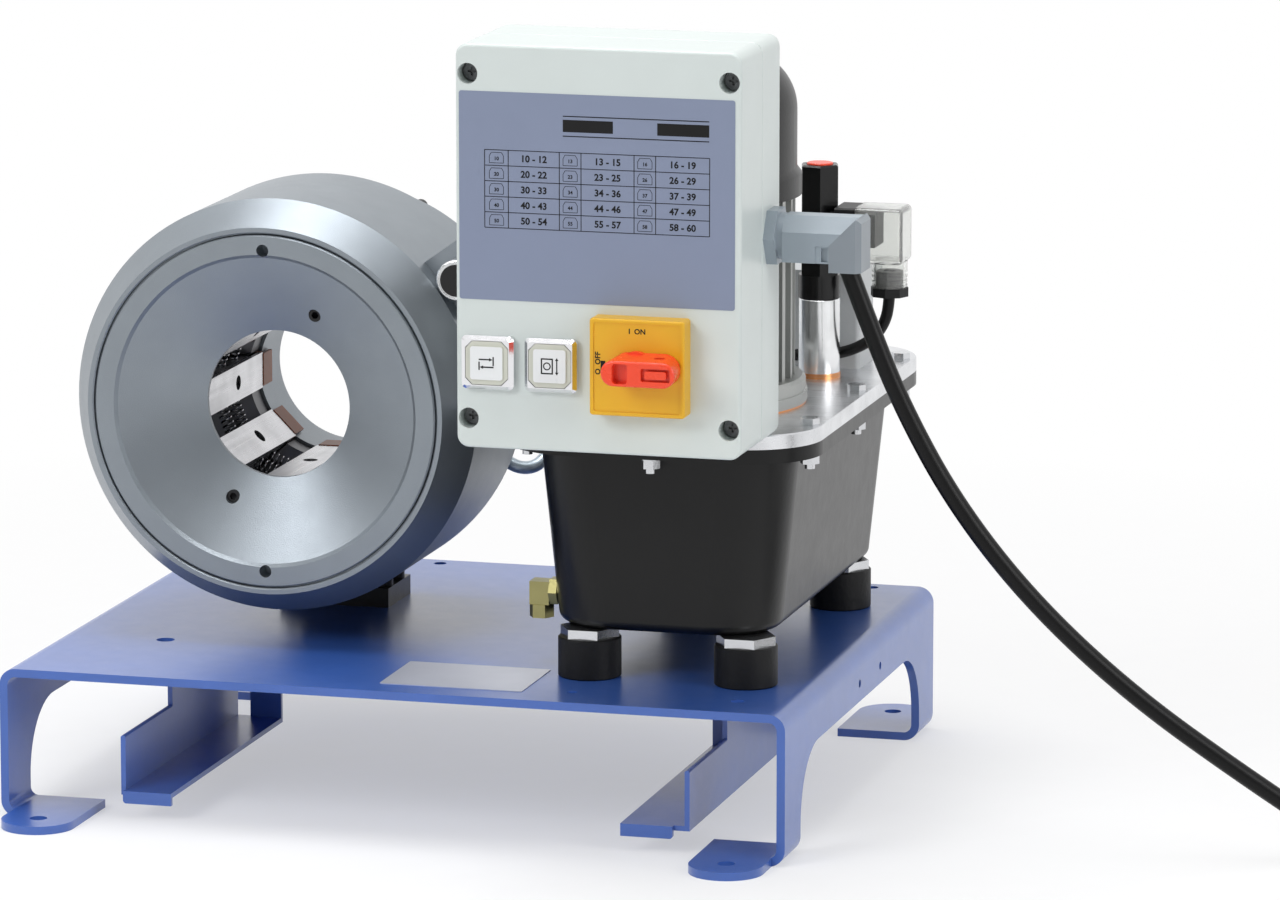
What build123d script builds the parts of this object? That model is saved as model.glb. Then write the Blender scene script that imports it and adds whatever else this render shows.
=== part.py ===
from build123d import *
import os
from math import cos, hypot, pi, radians, sin, tan

os.makedirs("parts", exist_ok=True)

# Bench-top hose crimping machine. Millimetres, X to the right, Y to the back, Z up.
# The origin is the centre of the four foot holes, on the bench surface.

# ---------------------------------------------------------------- driving dimensions
# base frame, one bent sheet
base_width = 480
base_depth = 375
base_height = 90
base_sheet = 5
base_bend = 10
leg_depth = 37.5
arch_height = 59
arch_corner = 42
foot_inset = 52
foot_end_radius = 22
foot_hole_x = 210
foot_hole_y = 206
foot_hole_d = 10.5
plate_holes = [(-171, -86, 11), (204, -158, 8), (203, 177, 8), (-78, 177, 8), (105, -160, 6)]
flank_hole_y = [-6, 46]
flank_hole_d = 5

# die storage rails under the base plate
rail_sheet = 3
rail_front = -172
rail_back = 38
rail_floor_z = 14
rail_step_y = -86
rail_step_z = 50
rail_lip = 4.5
rail_stop_gap = 9
left_rail_x = -170
left_rail_floor = 32
left_lip_gap = 2
right_rail_x = 179
right_rail_floor = 41
right_lip_gap = 9.5

# crimping head: barrel and cones
head_x = -104
head_front_y = -96
head_z = 234.6
barrel_radius = 125
barrel_length = 130
nose_radius = 110.8
nose_chamfer = 24
neck_radius = 110
neck_end = 172
cylinder_radius = 100
cover_radius = 106.3
cover_seat = 14
thread_gap = 0.3
rim_gap = 1
rim_gap_depth = 4
rim_break = 0.8
funnel_radius = 92.5
funnel_start = 2
funnel_end = 28
throat_end = 31
bore_radius = 44.7
spanner_hole_d = 7.5
spanner_hole_depth = 12
spanner_hole_r = 97
lock_screw_d = 8
lock_screw_r = 62
lock_screw_angles = [65, 245]

# dies and their wedge drive
die_count = 8
die_width = 22
die_open_radius = 45.5
die_travel = 16
die_front = 33
die_back = 136
die_height = 38.5
cone_slope = 1.25
cone_front_end = 62
cone_inner_radius = 50.5
ridge_height = 6
slide_plate = 3
slide_clearance = 0.15
channel_width = 24
channel_top_radius = 88
die_pin_hole_d = 9
die_pin_depth = 89
spring_d = 8
spring_wire_d = 1.2
spring_coils = 7
spring_radius = 57
spring_depths = [85, 108]
spring_seat = 3.5

# piston and rear cover
piston_clearance = 0.15
piston_face = 88.5
piston_lip_end = 139
piston_end = 171
sleeve_outer = 60
sleeve_inner = 48.6
sleeve_front = 140.2
rear_cover_plate = 12
seal_width = 4
seal_depth = 4
tongue = 2
tongue_width = 20
tongue_inner_radius = 45
tongue_end = 153
rear_screw_count = 8
rear_screw_d = 6
rear_thread_depth = 20
edge_break = 1.2

# head foot
foot_block_x = (-139, -69)
foot_block_y = (38, 84)
foot_flange = 12
foot_column_inset = 14

foot_screw_x = (-132, -76)
foot_screw_y = (49, 73)
foot_screw_d = 8

# diameter preset dial beside the barrel
dial_angle = 35.5
dial_offset = 138
dial_front = 24
dial_d = 24.5
dial_length = 13
dial_cap_d = 20
dial_block_width = 40
dial_block_reach = 156
dial_block_end = 92

# tank and cover plate of the power unit
unit_x = 145
unit_y = 19
buffer_x = (102, 197)
buffer_y = (-112, 119)
buffer_d = 37.5
buffer_height = 24
spacer_height = 5.5
spacer_flats = 31
stud_d = 8
stud_nut_flats = 13
stud_nut_height = 6.5
tank_wall = 4
tank_top_size = (156, 290)
tank_bottom_size = (134, 286)
tank_corner = 38
drain_y = -84
drain_height = 14
drain_d = 10
rim_bottom = 226.5
rim_height = 8.5
cover_size = (188, 322)
cover_corner = 45
cover_plate = 8.5
cover_bolt_inset = 8.2
cover_bolt_pitch = 114
bolt_d = 6
bolt_clearance = 0.3
bolt_flats = 10
bolt_head = 4
bolt_overhang = 3
nut_height = 5
washer = 1.2

# motor and the pump hanging under it
motor_x = 136
motor_y = -36
motor_radius = 69.5
motor_flange_radius = 76
motor_flange = 16
motor_body_top = 380
motor_top = 452
motor_dome = 34
fin_count = 32
fin_width = 4
fin_depth = 6
stator_bore = 34
air_gap = 0.6
rotor_radius = stator_bore - air_gap
shaft_radius = 8
bearing_clearance = 0.05
end_shield = 8
winding_gap = 16
stator_radius = 57
hood_wall = 3
hood_skirt = 12
gasket = 1.2
pump_spigot_radius = 19.5
pump_radius = 32
pump_bottom = 172
strainer_radius = 17
strainer_bottom = 140

# pressure pipe from the head's cylinder to the cover plate
pipe_d = 8
pipe_port_angle = -28
pipe_port_depth = 163
pipe_x = 78
pipe_y = 112
pipe_bend = 14

# release valve with its solenoid
valve_x = 197
valve_y = 62
valve_d = 25.2
valve_stem_d = 15
copper_washer = 1.5
valve_top = 292
solenoid_top = 373
solenoid_flats = 21.7
solenoid_turn = 45
solenoid_ring = 14
solenoid_pocket = 6
solenoid_pad = (20, 28)
override_d = 16
override_height = 1
override_travel = 2
connector_front = 209.2
connector_end = 251
connector_base = 12.8
connector_z = (315, 349)
connector_half_depth = 14
connector_wall = 2.2
connector_neck_x = 240.5
connector_neck_radius = 10.75
connector_neck_bottom = 300
connector_nut_bottom = 294.5
connector_groove = 0.8
valve_cable_d = 7
terminal_x = (150, 215)
terminal_y = (90, 128)
terminal_top = 303
terminal_wall = 2

# control box
box_x = 137
box_width = 168.4
box_height = 233.4
box_front = -218
box_lid_depth = 47
box_depth = 86
box_bottom = 243.6
box_wall = 3.5
box_corner = 7
lid_screw_x = 77
lid_screw_z = 99.5
lid_recess_d = 12
lid_recess_depth = 13
lid_screw_d = 3.6
lid_screw_grip = 20
lid_slot_length = 5
lid_slot_width = 1.4
box_post_radius = 8
seam_chamfer = 0.8
electrics_z = 330
mount_rail = (118, 35, 7.5)
contactor_x = -38
contactor = (45, 68, 46)
terminals_x = 25
terminals = (60, 44, 34)

# bracket behind the control box
bracket_sheet = 3
bracket_width = 92
bracket_centre_x = 136
bracket_top = 400
bracket_foot = 15
bracket_screw_d = 5
bracket_screw_places = [(x, z) for x in (-36, 36) for z in (270, 385)]
bracket_foot_screw_x = (100, 172)
bracket_foot_screw_y = -122

# buttons and main switch in the lid
panel_hole_d = 22.3
button_x = (72.6, 110.1)
button_z = 294.2
button_bezel = 31
bezel_flare = 2.2
bezel_corner = 3
cap_corner = 1.5
bezel_height = 6
bezel_barrel = 20
button_frame = 25
button_frame_corner = 4
button_cap = 20
button_travel = 3
button_proud = 0.6
button_stem_radius = 7
switch_x = 163.5
switch_z = 296.5
switch_size = 56
switch_depth = 13
switch_border = 2.4
switch_recess = 0.6
switch_body = 40
switch_body_depth = 32
switch_shaft_radius = 4
handle_length = 43.7
handle_short_end = 16.3
handle_width = 14.5
handle_depth = 20
handle_foot_length = 40
handle_foot_width = 18.5
handle_skirt = 4
grip_place = 11.5
grip_size = (9, 11.5)
grip_depth = 6
lock_place = 32.5
lock_window = (17, 7.5)
lock_jaw = (12.5, 4.5)
lock_depth = 3
shackle_hole = (6.5, 3.6)

# right-hand cable outlet of the control box
outlet_y = -152
outlet_z = 363.5
outlet_half_depth = 14
outlet_height = 26.4
outlet_nut = 6.5
outlet_collar_radius = 13.4
outlet_nut_end = 231.5
outlet_elbow_x = 259
outlet_end = 277.5
outlet_top_chamfer = 16
outlet_slope = (8, 9)
elbow_drop = 5
elbow_break = 3
outlet_nut_flats = 31
outlet_hole_d = 20
latch_size = (8, 10)
latch_window = (3.6, 8)

# mains cable: its height above the bench and its distance along a line that leads away to the right
cable_d = 11
cable_clearance = 0.3
cable_line = (0.9731, 0.2303)
cable_start = (268, -152)
cable_route = [
    (-2.1, 350),
    (10.8, 315),
    (30.5, 266),
    (61.5, 209),
    (105.5, 152.5),
    (164, 97.5),
    (235, 46.5),
    (297, 5.55),
    (347, 5.55),
]
coil_lead = 45
coil_radius = 60.5
coil_rows = 4
coil_layers = 2
coil_pitch = 11.2
plug_angle = 60
plug_length = 62
plug_d = 33.4
plug_grip = 4
pin_d = 4.8
pin_pitch = 19
pin_length = 19

plate_top = base_height
head_axis = Axis((head_x, head_front_y, head_z), (0, 1, 0))
cover_top = rim_bottom + rim_height + cover_plate
tank_bottom = plate_top + buffer_height + spacer_height
rear_cover_end = neck_end + rear_cover_plate
die_angles = [i * 360 / die_count for i in range(die_count)]
die_forward = die_travel / cone_slope
piston_travel = 2 * die_forward
slope_length = hypot(1, cone_slope)


def head_section(angle):
    """Plane through the head axis: local x is the radius at this angle, local y the depth."""
    turn = radians(angle)
    return Plane(
        origin=(head_x, head_front_y, head_z),
        x_dir=(cos(turn), 0, sin(turn)),
        z_dir=(-sin(turn), 0, cos(turn)),
    )


def head_face(depth):
    """Plane square to the head axis at a depth from the front, its normal towards the back."""
    return Plane(origin=(head_x, head_front_y + depth, head_z), x_dir=(-1, 0, 0), z_dir=(0, 1, 0))


def front_slope(radius, offset=0):
    """Depth of a die's front slope at a radius, moved by offset square to the slope to the front."""
    return die_front + (radius - die_open_radius) / cone_slope - offset * slope_length / cone_slope


def back_slope(radius, offset=0):
    """Depth of a die's back slope at a radius, moved by offset square to the slope to the back."""
    return die_back - (radius - die_open_radius) / cone_slope + offset * slope_length / cone_slope


def front_band(start, end, near, far):
    """Corners of a strip along the front slope, between two radii and two offsets."""
    return [
        (start, front_slope(start, near)),
        (end, front_slope(end, near)),
        (end, front_slope(end, far)),
        (start, front_slope(start, far)),
    ]


def back_band(start, end, near, far):
    """Corners of a strip along the back slope, between two radii and two offsets."""
    return [
        (start, back_slope(start, near)),
        (end, back_slope(end, near)),
        (end, back_slope(end, far)),
        (start, back_slope(start, far)),
    ]


# ================================================================ base
with BuildPart() as base_frame:
    # the sheet's section, seen from the front
    with BuildSketch(Plane.XZ.offset(base_depth / 2)):
        with Locations((0, base_height / 2)):
            RectangleRounded(base_width, base_height, base_bend)
            RectangleRounded(
                base_width - 2 * base_sheet,
                base_height - 2 * base_sheet,
                base_bend - base_sheet,
                mode=Mode.SUBTRACT,
            )
        Rectangle(base_width - 2 * foot_inset, 4 * base_sheet, mode=Mode.SUBTRACT)
    extrude(amount=-base_depth)
    # the arch between the legs, cut through both flanks
    with BuildSketch(Plane.YZ):
        arch_half = base_depth / 2 - leg_depth
        with Locations((0, arch_height - base_height)):
            RectangleRounded(2 * arch_half, 2 * base_height, arch_corner)
    extrude(amount=base_width, both=True, mode=Mode.SUBTRACT)
    # foot ends that reach past the front and back of the plate
    with BuildSketch(Plane.XY):
        for side in (-1, 1):
            for end in (-1, 1):
                with Locations((side * foot_hole_x, end * foot_hole_y)):
                    Circle(foot_end_radius)
                inner_end = base_depth / 2 - leg_depth / 2
                with Locations((side * foot_hole_x, end * (inner_end + foot_hole_y) / 2)):
                    Rectangle(2 * foot_end_radius, foot_hole_y - inner_end)
    extrude(amount=base_sheet)
    with Locations(
        *[(sx * foot_hole_x, sy * foot_hole_y, base_sheet) for sx in (-1, 1) for sy in (-1, 1)]
    ):
        Hole(foot_hole_d / 2, 2 * base_sheet)
    for x, y, size in plate_holes:
        with Locations((x, y, plate_top)):
            Hole(size / 2, 2 * base_sheet)
    with Locations(*[(x, y, plate_top) for x in buffer_x for y in buffer_y]):
        Hole(stud_d / 2 + 0.5, 2 * base_sheet)
    with Locations(*[(x, y, plate_top) for x in foot_screw_x for y in foot_screw_y]):
        Hole(foot_screw_d / 2 + 0.25, 2 * base_sheet)
    with BuildSketch(Plane.YZ.offset(base_width / 2 - 2 * base_sheet)):
        with Locations(*[(y, base_height - 20) for y in flank_hole_y]):
            Circle(flank_hole_d / 2)
    extrude(amount=4 * base_sheet, mode=Mode.SUBTRACT)
base_frame.part.label = "base_frame"
export_step(base_frame.part, "parts/base_frame.step")


def die_rail(outer_x, floor_width, towards, lip_gap):
    """A bent tray under the plate: upright web, floor, front lip and back stop.

    outer_x is the web's outer face, towards is +1 when the floor reaches to +X, and lip_gap is
    how far from the web's outer face the lip begins.
    """
    underside = base_height - base_sheet
    with BuildPart() as rail:
        with BuildSketch(Plane.YZ.offset(outer_x)):
            with BuildLine():
                Polyline(
                    (rail_front, rail_floor_z),
                    (rail_back, rail_floor_z),
                    (rail_back, underside),
                    (rail_step_y, underside),
                    (rail_step_y, rail_step_z),
                    (rail_front, rail_step_z),
                    close=True,
                )
            make_face()
        extrude(amount=towards * rail_sheet)
        with BuildSketch(Plane.XY.offset(rail_floor_z)):
            with Locations((outer_x + towards * floor_width / 2, (rail_front + rail_back) / 2)):
                Rectangle(floor_width, rail_back - rail_front)
        extrude(amount=rail_sheet)
        # the lip hangs from the floor's front edge
        lip_width = floor_width - lip_gap
        lip_x = outer_x + towards * (floor_width - lip_width / 2)
        with BuildSketch(Plane.XY.offset(rail_floor_z + rail_sheet)):
            with Locations((lip_x, rail_front - rail_sheet / 2)):
                Rectangle(lip_width, rail_sheet)
        extrude(amount=-rail_sheet - rail_lip)
        # the back stop stands on the floor and stays clear of the web's corner
        stop_width = floor_width - rail_sheet - rail_stop_gap
        with BuildSketch(Plane.XY.offset(rail_floor_z)):
            with Locations(
                (outer_x + towards * (floor_width - stop_width / 2), rail_back - rail_sheet / 2)
            ):
                Rectangle(stop_width, rail_sheet)
        extrude(amount=underside - rail_floor_z)
        fillet(
            rail.edges().filter_by(Axis.Y).group_by(Axis.Z)[0].sort_by(Axis.X)[-1 if towards < 0 else 0],
            rail_sheet - 1,
        )
        top_front = rail.edges().filter_by(Axis.Y).filter_by_position(
            Axis.Z, rail_step_z - 0.1, rail_step_z + 0.1
        )
        chamfer(top_front, 0.8)
    return rail.part


die_rail_left = die_rail(left_rail_x, left_rail_floor, 1, left_lip_gap)
die_rail_left.label = "die_rail_left"
export_step(die_rail_left, "parts/die_rail_left.step")

die_rail_right = die_rail(right_rail_x, right_rail_floor, -1, right_lip_gap)
die_rail_right.label = "die_rail_right"
export_step(die_rail_right, "parts/die_rail_right.step")

# ================================================================ crimping head
with BuildPart() as head_housing:
    with BuildSketch(head_section(0)):
        with BuildLine():
            Polyline(
                (cover_radius + thread_gap, rim_gap_depth),
                (cover_radius + rim_gap, rim_gap_depth),
                (cover_radius + rim_gap, rim_break),
                (cover_radius + rim_gap + rim_break, 0),
                (nose_radius, 0),
                (barrel_radius, nose_chamfer),
                (barrel_radius, barrel_length),
                (neck_radius, barrel_length),
                (neck_radius, neck_end),
                (cylinder_radius, neck_end),
                (cylinder_radius, cover_seat),
                (cover_radius + thread_gap, cover_seat),
                close=True,
            )
        make_face()
    revolve(axis=head_axis)
    outer_rims = head_housing.edges().filter_by(GeomType.CIRCLE)
    fillet(
        [e for e in outer_rims if abs(e.radius - barrel_radius) < 0.1 and e.center().Y > head_front_y + 99],
        3,
    )
    with BuildSketch(head_face(neck_end)):
        with PolarLocations((neck_radius + cylinder_radius) / 2, rear_screw_count, 22.5):
            Circle(rear_screw_d / 2)
    extrude(amount=-rear_thread_depth, mode=Mode.SUBTRACT)
    # pressure port in the neck
    port = head_section(pipe_port_angle).location * Location((neck_radius, pipe_port_depth, 0), (0, 90, 0))
    with BuildSketch(Plane(port)):
        Circle(pipe_d / 2)
    extrude(amount=cylinder_radius - neck_radius - 5, mode=Mode.SUBTRACT)
head_housing.part.label = "head_housing"
export_step(head_housing.part, "parts/head_housing.step")

cover_back_radius = 80.5
cover_back_depth = 30.5
with BuildPart() as front_cover:
    with BuildSketch(head_section(0)):
        with BuildLine():
            Polyline(
                (cover_radius - rim_break, 0),
                (cover_radius, rim_break),
                (cover_radius, cover_seat),
                (cover_back_radius, cover_seat),
                (cone_inner_radius, cover_back_depth),
                (bore_radius, throat_end),
                (bore_radius, funnel_end),
                (funnel_radius, funnel_start),
                (funnel_radius + funnel_start, 0),
                close=True,
            )
        make_face()
    revolve(axis=head_axis)
    # two holes for a pin spanner
    with BuildSketch(head_face(0)):
        with PolarLocations(spanner_hole_r, 2, 90):
            Circle(spanner_hole_d / 2)
    extrude(amount=spanner_hole_depth, mode=Mode.SUBTRACT)
    # tapped holes of the lock screws, right through the funnel wall
    with BuildSketch(head_face(0)):
        for angle in lock_screw_angles:
            with Locations(
                (-lock_screw_r * cos(radians(angle)), lock_screw_r * sin(radians(angle)))
            ):
                Circle(lock_screw_d / 2)
    extrude(amount=throat_end, mode=Mode.SUBTRACT)
front_cover.part.label = "front_cover"
export_step(front_cover.part, "parts/front_cover.step")

# depth at which the funnel's face lies at the lock screws
lock_face = funnel_start + (funnel_radius - lock_screw_r) * (funnel_end - funnel_start) / (
    funnel_radius - bore_radius
)
with BuildPart() as front_lock_screws:
    with BuildSketch(head_face(lock_face + 0.8)):
        for angle in lock_screw_angles:
            with Locations(
                (-lock_screw_r * cos(radians(angle)), lock_screw_r * sin(radians(angle)))
            ):
                Circle(lock_screw_d / 2 - 0.1)
                RegularPolygon(2, 6, major_radius=False, mode=Mode.SUBTRACT)
    extrude(amount=2)
front_lock_screws.part.label = "front_lock_screws"
export_step(front_lock_screws.part, "parts/front_lock_screws.step")

plate_offset = slide_clearance + slide_plate
ridge_end_radius = cone_inner_radius + (
    cone_front_end - front_slope(cone_inner_radius, -ridge_height)
) * cone_slope
with BuildPart() as front_cone:
    with BuildSketch(head_section(0)):
        with BuildLine():
            Polyline(
                (cylinder_radius - 0.1, cover_seat),
                (cover_back_radius, cover_seat),
                (cone_inner_radius, cover_back_depth),
                (cone_inner_radius, front_slope(cone_inner_radius, -ridge_height)),
                (ridge_end_radius, cone_front_end),
                (cylinder_radius - 0.1, cone_front_end),
                close=True,
            )
        make_face()
    revolve(axis=head_axis)
    # eight flat channels that guide the dies' front slopes
    for angle in die_angles:
        with BuildSketch(head_section(angle)):
            with BuildLine():
                Polyline(
                    (cone_inner_radius - 4, front_slope(cone_inner_radius - 4, plate_offset)),
                    (channel_top_radius, front_slope(channel_top_radius, plate_offset)),
                    (channel_top_radius, cone_front_end + 10),
                    (cone_inner_radius - 4, cone_front_end + 10),
                    close=True,
                )
            make_face()
        extrude(amount=channel_width / 2, both=True, mode=Mode.SUBTRACT)
front_cone.part.label = "front_cone"
export_step(front_cone.part, "parts/front_cone.step")

front_plate_end = cone_inner_radius + (
    cone_front_end - front_slope(cone_inner_radius, plate_offset)
) * cone_slope
with BuildPart() as front_slide_plates:
    for angle in die_angles:
        with BuildSketch(head_section(angle)):
            with BuildLine():
                Polyline(
                    *front_band(
                        cone_inner_radius, front_plate_end - 1, slide_clearance, plate_offset
                    ),
                    close=True,
                )
            make_face()
        extrude(amount=die_width / 2, both=True)
front_slide_plates.part.label = "front_slide_plates"
export_step(front_slide_plates.part, "parts/front_slide_plates.step")

piston_radius = cylinder_radius - piston_clearance
piston_bore = sleeve_outer + piston_clearance
outer_seal_depth = piston_end - 3 * seal_width
inner_seal_depth = piston_end - 1 - seal_width
rim_inner_radius = cone_inner_radius + (
    back_slope(cone_inner_radius, -ridge_height) - piston_face
) * cone_slope
with BuildPart() as piston:
    with BuildSketch(head_section(0)):
        with BuildLine():
            Polyline(
                (piston_radius, piston_face),
                (rim_inner_radius, piston_face),
                (cone_inner_radius, back_slope(cone_inner_radius, -ridge_height)),
                (cone_inner_radius, piston_lip_end),
                (piston_bore, piston_lip_end),
                (piston_bore, piston_end),
                (piston_radius, piston_end),
                close=True,
            )
        make_face()
        with Locations((piston_radius, outer_seal_depth + seal_width / 2)):
            Rectangle(2 * seal_depth, seal_width, mode=Mode.SUBTRACT)
        with Locations((piston_bore, inner_seal_depth + seal_width / 2)):
            Rectangle(2 * seal_depth, seal_width, mode=Mode.SUBTRACT)
    revolve(axis=head_axis)
    # eight flat channels that carry the slide plates behind the dies
    for angle in die_angles:
        with BuildSketch(head_section(angle)):
            with BuildLine():
                Polyline(
                    (cone_inner_radius - 4, back_slope(cone_inner_radius - 4, plate_offset)),
                    (channel_top_radius, back_slope(channel_top_radius, plate_offset)),
                    (channel_top_radius, piston_face - 10),
                    (cone_inner_radius - 4, piston_face - 10),
                    close=True,
                )
            make_face()
        extrude(amount=channel_width / 2, both=True, mode=Mode.SUBTRACT)
piston.part.label = "piston"
export_step(piston.part, "parts/piston.step")

with BuildPart() as piston_seals:
    with BuildSketch(head_section(0)):
        with Locations((piston_radius - seal_depth / 2, outer_seal_depth + seal_width / 2)):
            Rectangle(seal_depth, seal_width)
        with Locations((piston_bore + seal_depth / 2, inner_seal_depth + seal_width / 2)):
            Rectangle(seal_depth, seal_width)
    revolve(axis=head_axis)
piston_seals.part.label = "piston_seals"
export_step(piston_seals.part, "parts/piston_seals.step")

tongue_outer_radius = tongue_inner_radius + tongue
with BuildPart() as rear_slide_plates:
    for angle in die_angles:
        with BuildSketch(head_section(angle)):
            with BuildLine():
                Polyline(
                    *back_band(
                        tongue_outer_radius,
                        channel_top_radius - 1,
                        slide_clearance,
                        plate_offset,
                    ),
                    close=True,
                )
            make_face()
        extrude(amount=die_width / 2, both=True)
        # the tongue that lies along the bore behind the die
        with BuildSketch(head_section(angle)):
            with BuildLine():
                Polyline(
                    (tongue_inner_radius, back_slope(tongue_inner_radius, slide_clearance)),
                    (tongue_outer_radius, back_slope(tongue_outer_radius, slide_clearance)),
                    (tongue_outer_radius, tongue_end),
                    (tongue_inner_radius, tongue_end),
                    close=True,
                )
            make_face()
        extrude(amount=tongue_width / 2, both=True)
rear_slide_plates.part.label = "rear_slide_plates"
export_step(rear_slide_plates.part, "parts/rear_slide_plates.step")

with BuildPart() as rear_cover:
    with BuildSketch(head_section(0)):
        with BuildLine():
            Polyline(
                (sleeve_inner, sleeve_front),
                (sleeve_outer, sleeve_front),
                (sleeve_outer, neck_end),
                (neck_radius, neck_end),
                (neck_radius, rear_cover_end - edge_break),
                (neck_radius - edge_break, rear_cover_end),
                (sleeve_inner + 5, rear_cover_end),
                (sleeve_inner, rear_cover_end - 5),
                close=True,
            )
        make_face()
    revolve(axis=head_axis)
    with BuildSketch(head_face(rear_cover_end)):
        with PolarLocations((neck_radius + cylinder_radius) / 2, rear_screw_count, 22.5):
            Circle(rear_screw_d / 2)
    extrude(amount=-2 * rear_cover_plate, mode=Mode.SUBTRACT)
rear_cover.part.label = "rear_cover"
export_step(rear_cover.part, "parts/rear_cover.step")

# the gap that a return spring bridges from one die to the next
gap_half_angle = radians(180 / die_count)
seat_chord = 2 * (spring_radius * sin(gap_half_angle) - die_width / 2 * cos(gap_half_angle))
spring_length = seat_chord + 2 * spring_seat


def spring_plane(angle, depth, start):
    """Plane square to a return spring's line, start away from the middle of the gap."""
    middle = radians(angle) + gap_half_angle
    reach = spring_radius * cos(gap_half_angle) + die_width / 2 * sin(gap_half_angle)
    along = (-sin(middle), 0, cos(middle))
    return Plane(
        origin=(
            head_x + reach * cos(middle) + start * along[0],
            head_front_y + depth,
            head_z + reach * sin(middle) + start * along[2],
        ),
        x_dir=(0, 1, 0),
        z_dir=along,
    )


for number, angle in enumerate(die_angles, start=1):
    with BuildPart() as die:
        with BuildSketch(head_section(angle)):
            with BuildLine():
                Polyline(
                    (die_open_radius, die_front),
                    (die_open_radius + die_height, front_slope(die_open_radius + die_height)),
                    (die_open_radius + die_height, back_slope(die_open_radius + die_height)),
                    (die_open_radius, die_back),
                    close=True,
                )
            make_face()
        extrude(amount=die_width / 2, both=True)
        # bore for the locating pin of an exchangeable die
        with BuildSketch(
            Plane(head_section(angle).location * Location((die_open_radius, die_pin_depth, 0), (0, 90, 0)))
        ):
            Circle(die_pin_hole_d / 2)
        extrude(amount=18, mode=Mode.SUBTRACT)
        # seats of the return springs, on both flanks
        for depth in spring_depths:
            with BuildSketch(spring_plane(angle, depth, -spring_length / 2)):
                Circle(spring_d / 2 + 0.3)
            extrude(amount=spring_seat + spring_d / 2, mode=Mode.SUBTRACT)
            with BuildSketch(spring_plane(angle - 360 / die_count, depth, spring_length / 2)):
                Circle(spring_d / 2 + 0.3)
            extrude(amount=-spring_seat - spring_d / 2, mode=Mode.SUBTRACT)
    die.part.label = f"die_{number}"
    export_step(die.part, f"parts/die_{number}.step")


# two return springs in every gap between neighbouring dies, seated in pockets in their flanks
with BuildPart() as die_springs:
    for angle in die_angles:
        for depth in spring_depths:
            with BuildSketch(spring_plane(angle, depth, -spring_length / 2)):
                Circle(spring_d / 2)
                Circle(spring_d / 2 - spring_wire_d, mode=Mode.SUBTRACT)
            extrude(amount=spring_length)
die_springs.part.label = "die_springs"
export_step(die_springs.part, "parts/die_springs.step")

with BuildPart() as head_foot:
    flange_x = sum(foot_block_x) / 2
    flange_y = sum(foot_block_y) / 2
    flange_w = foot_block_x[1] - foot_block_x[0]
    flange_d = foot_block_y[1] - foot_block_y[0]
    with BuildSketch(Plane.XY.offset(plate_top)):
        with Locations((flange_x, flange_y)):
            Rectangle(flange_w, flange_d)
    extrude(amount=foot_flange)
    with BuildSketch(Plane.XY.offset(plate_top)):
        with Locations((flange_x, flange_y)):
            Rectangle(flange_w - 2 * foot_column_inset, flange_d)
    extrude(amount=head_z - neck_radius / 2 - plate_top)
    # the saddle that takes the neck of the barrel
    with BuildSketch(Plane.XZ.offset(-foot_block_y[0] + 5)):
        with Locations((head_x, head_z)):
            Circle(neck_radius)
    extrude(amount=-flange_d - 10, mode=Mode.SUBTRACT)
    with Locations(*[(x, y, plate_top + foot_flange) for x in foot_screw_x for y in foot_screw_y]):
        Hole(foot_screw_d / 2 + 0.25, 2 * foot_flange)
head_foot.part.label = "head_foot"
export_step(head_foot.part, "parts/head_foot.step")

# ---------------------------------------------------------------- diameter preset dial
dial_knob_end = dial_front + dial_length
dial_block_front = dial_knob_end + 1
with BuildPart() as dial_block:
    with BuildSketch(head_section(dial_angle)):
        with Locations(
            (
                (barrel_radius - 8 + dial_block_reach) / 2,
                (dial_block_front + dial_block_end) / 2,
            )
        ):
            Rectangle(dial_block_reach - barrel_radius + 8, dial_block_end - dial_block_front)
    extrude(amount=dial_block_width / 2, both=True)
    fillet(dial_block.edges().filter_by(Axis.Y), 3)
    with BuildSketch(head_face(0)):
        Circle(barrel_radius)
    extrude(amount=dial_block_end + 5, mode=Mode.SUBTRACT)
    with BuildSketch(Plane(head_section(dial_angle).location * Location((dial_offset, 0, 0), (-90, 0, 0)))):
        Circle(3.1)
    extrude(amount=dial_block_front + 16, mode=Mode.SUBTRACT)
dial_block.part.label = "dial_block"
export_step(dial_block.part, "parts/dial_block.step")

dial_turn = radians(dial_angle)
dial_x = head_x + dial_offset * cos(dial_turn)
dial_z = head_z + dial_offset * sin(dial_turn)


def dial_face(depth):
    """Plane square to the dial's spindle at a depth from the head's front."""
    return Plane(
        origin=(dial_x, head_front_y + depth, dial_z), x_dir=(-1, 0, 0), z_dir=(0, 1, 0)
    )


with BuildPart() as dial_knob:
    with BuildSketch(dial_face(dial_front)):
        Circle(dial_d / 2)
    extrude(amount=dial_length)
    fillet(dial_knob.edges().filter_by(GeomType.CIRCLE).group_by(Axis.Y)[0], 1.2)
    with BuildSketch(dial_face(dial_front)):
        Circle(dial_cap_d / 2 + 0.6)
        Circle(dial_cap_d / 2, mode=Mode.SUBTRACT)
    extrude(amount=0.8, mode=Mode.SUBTRACT)
    with BuildSketch(dial_face(dial_knob_end)):
        Circle(3)
    extrude(amount=12)
dial_knob.part.label = "dial_knob"
export_step(dial_knob.part, "parts/dial_knob.step")

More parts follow.
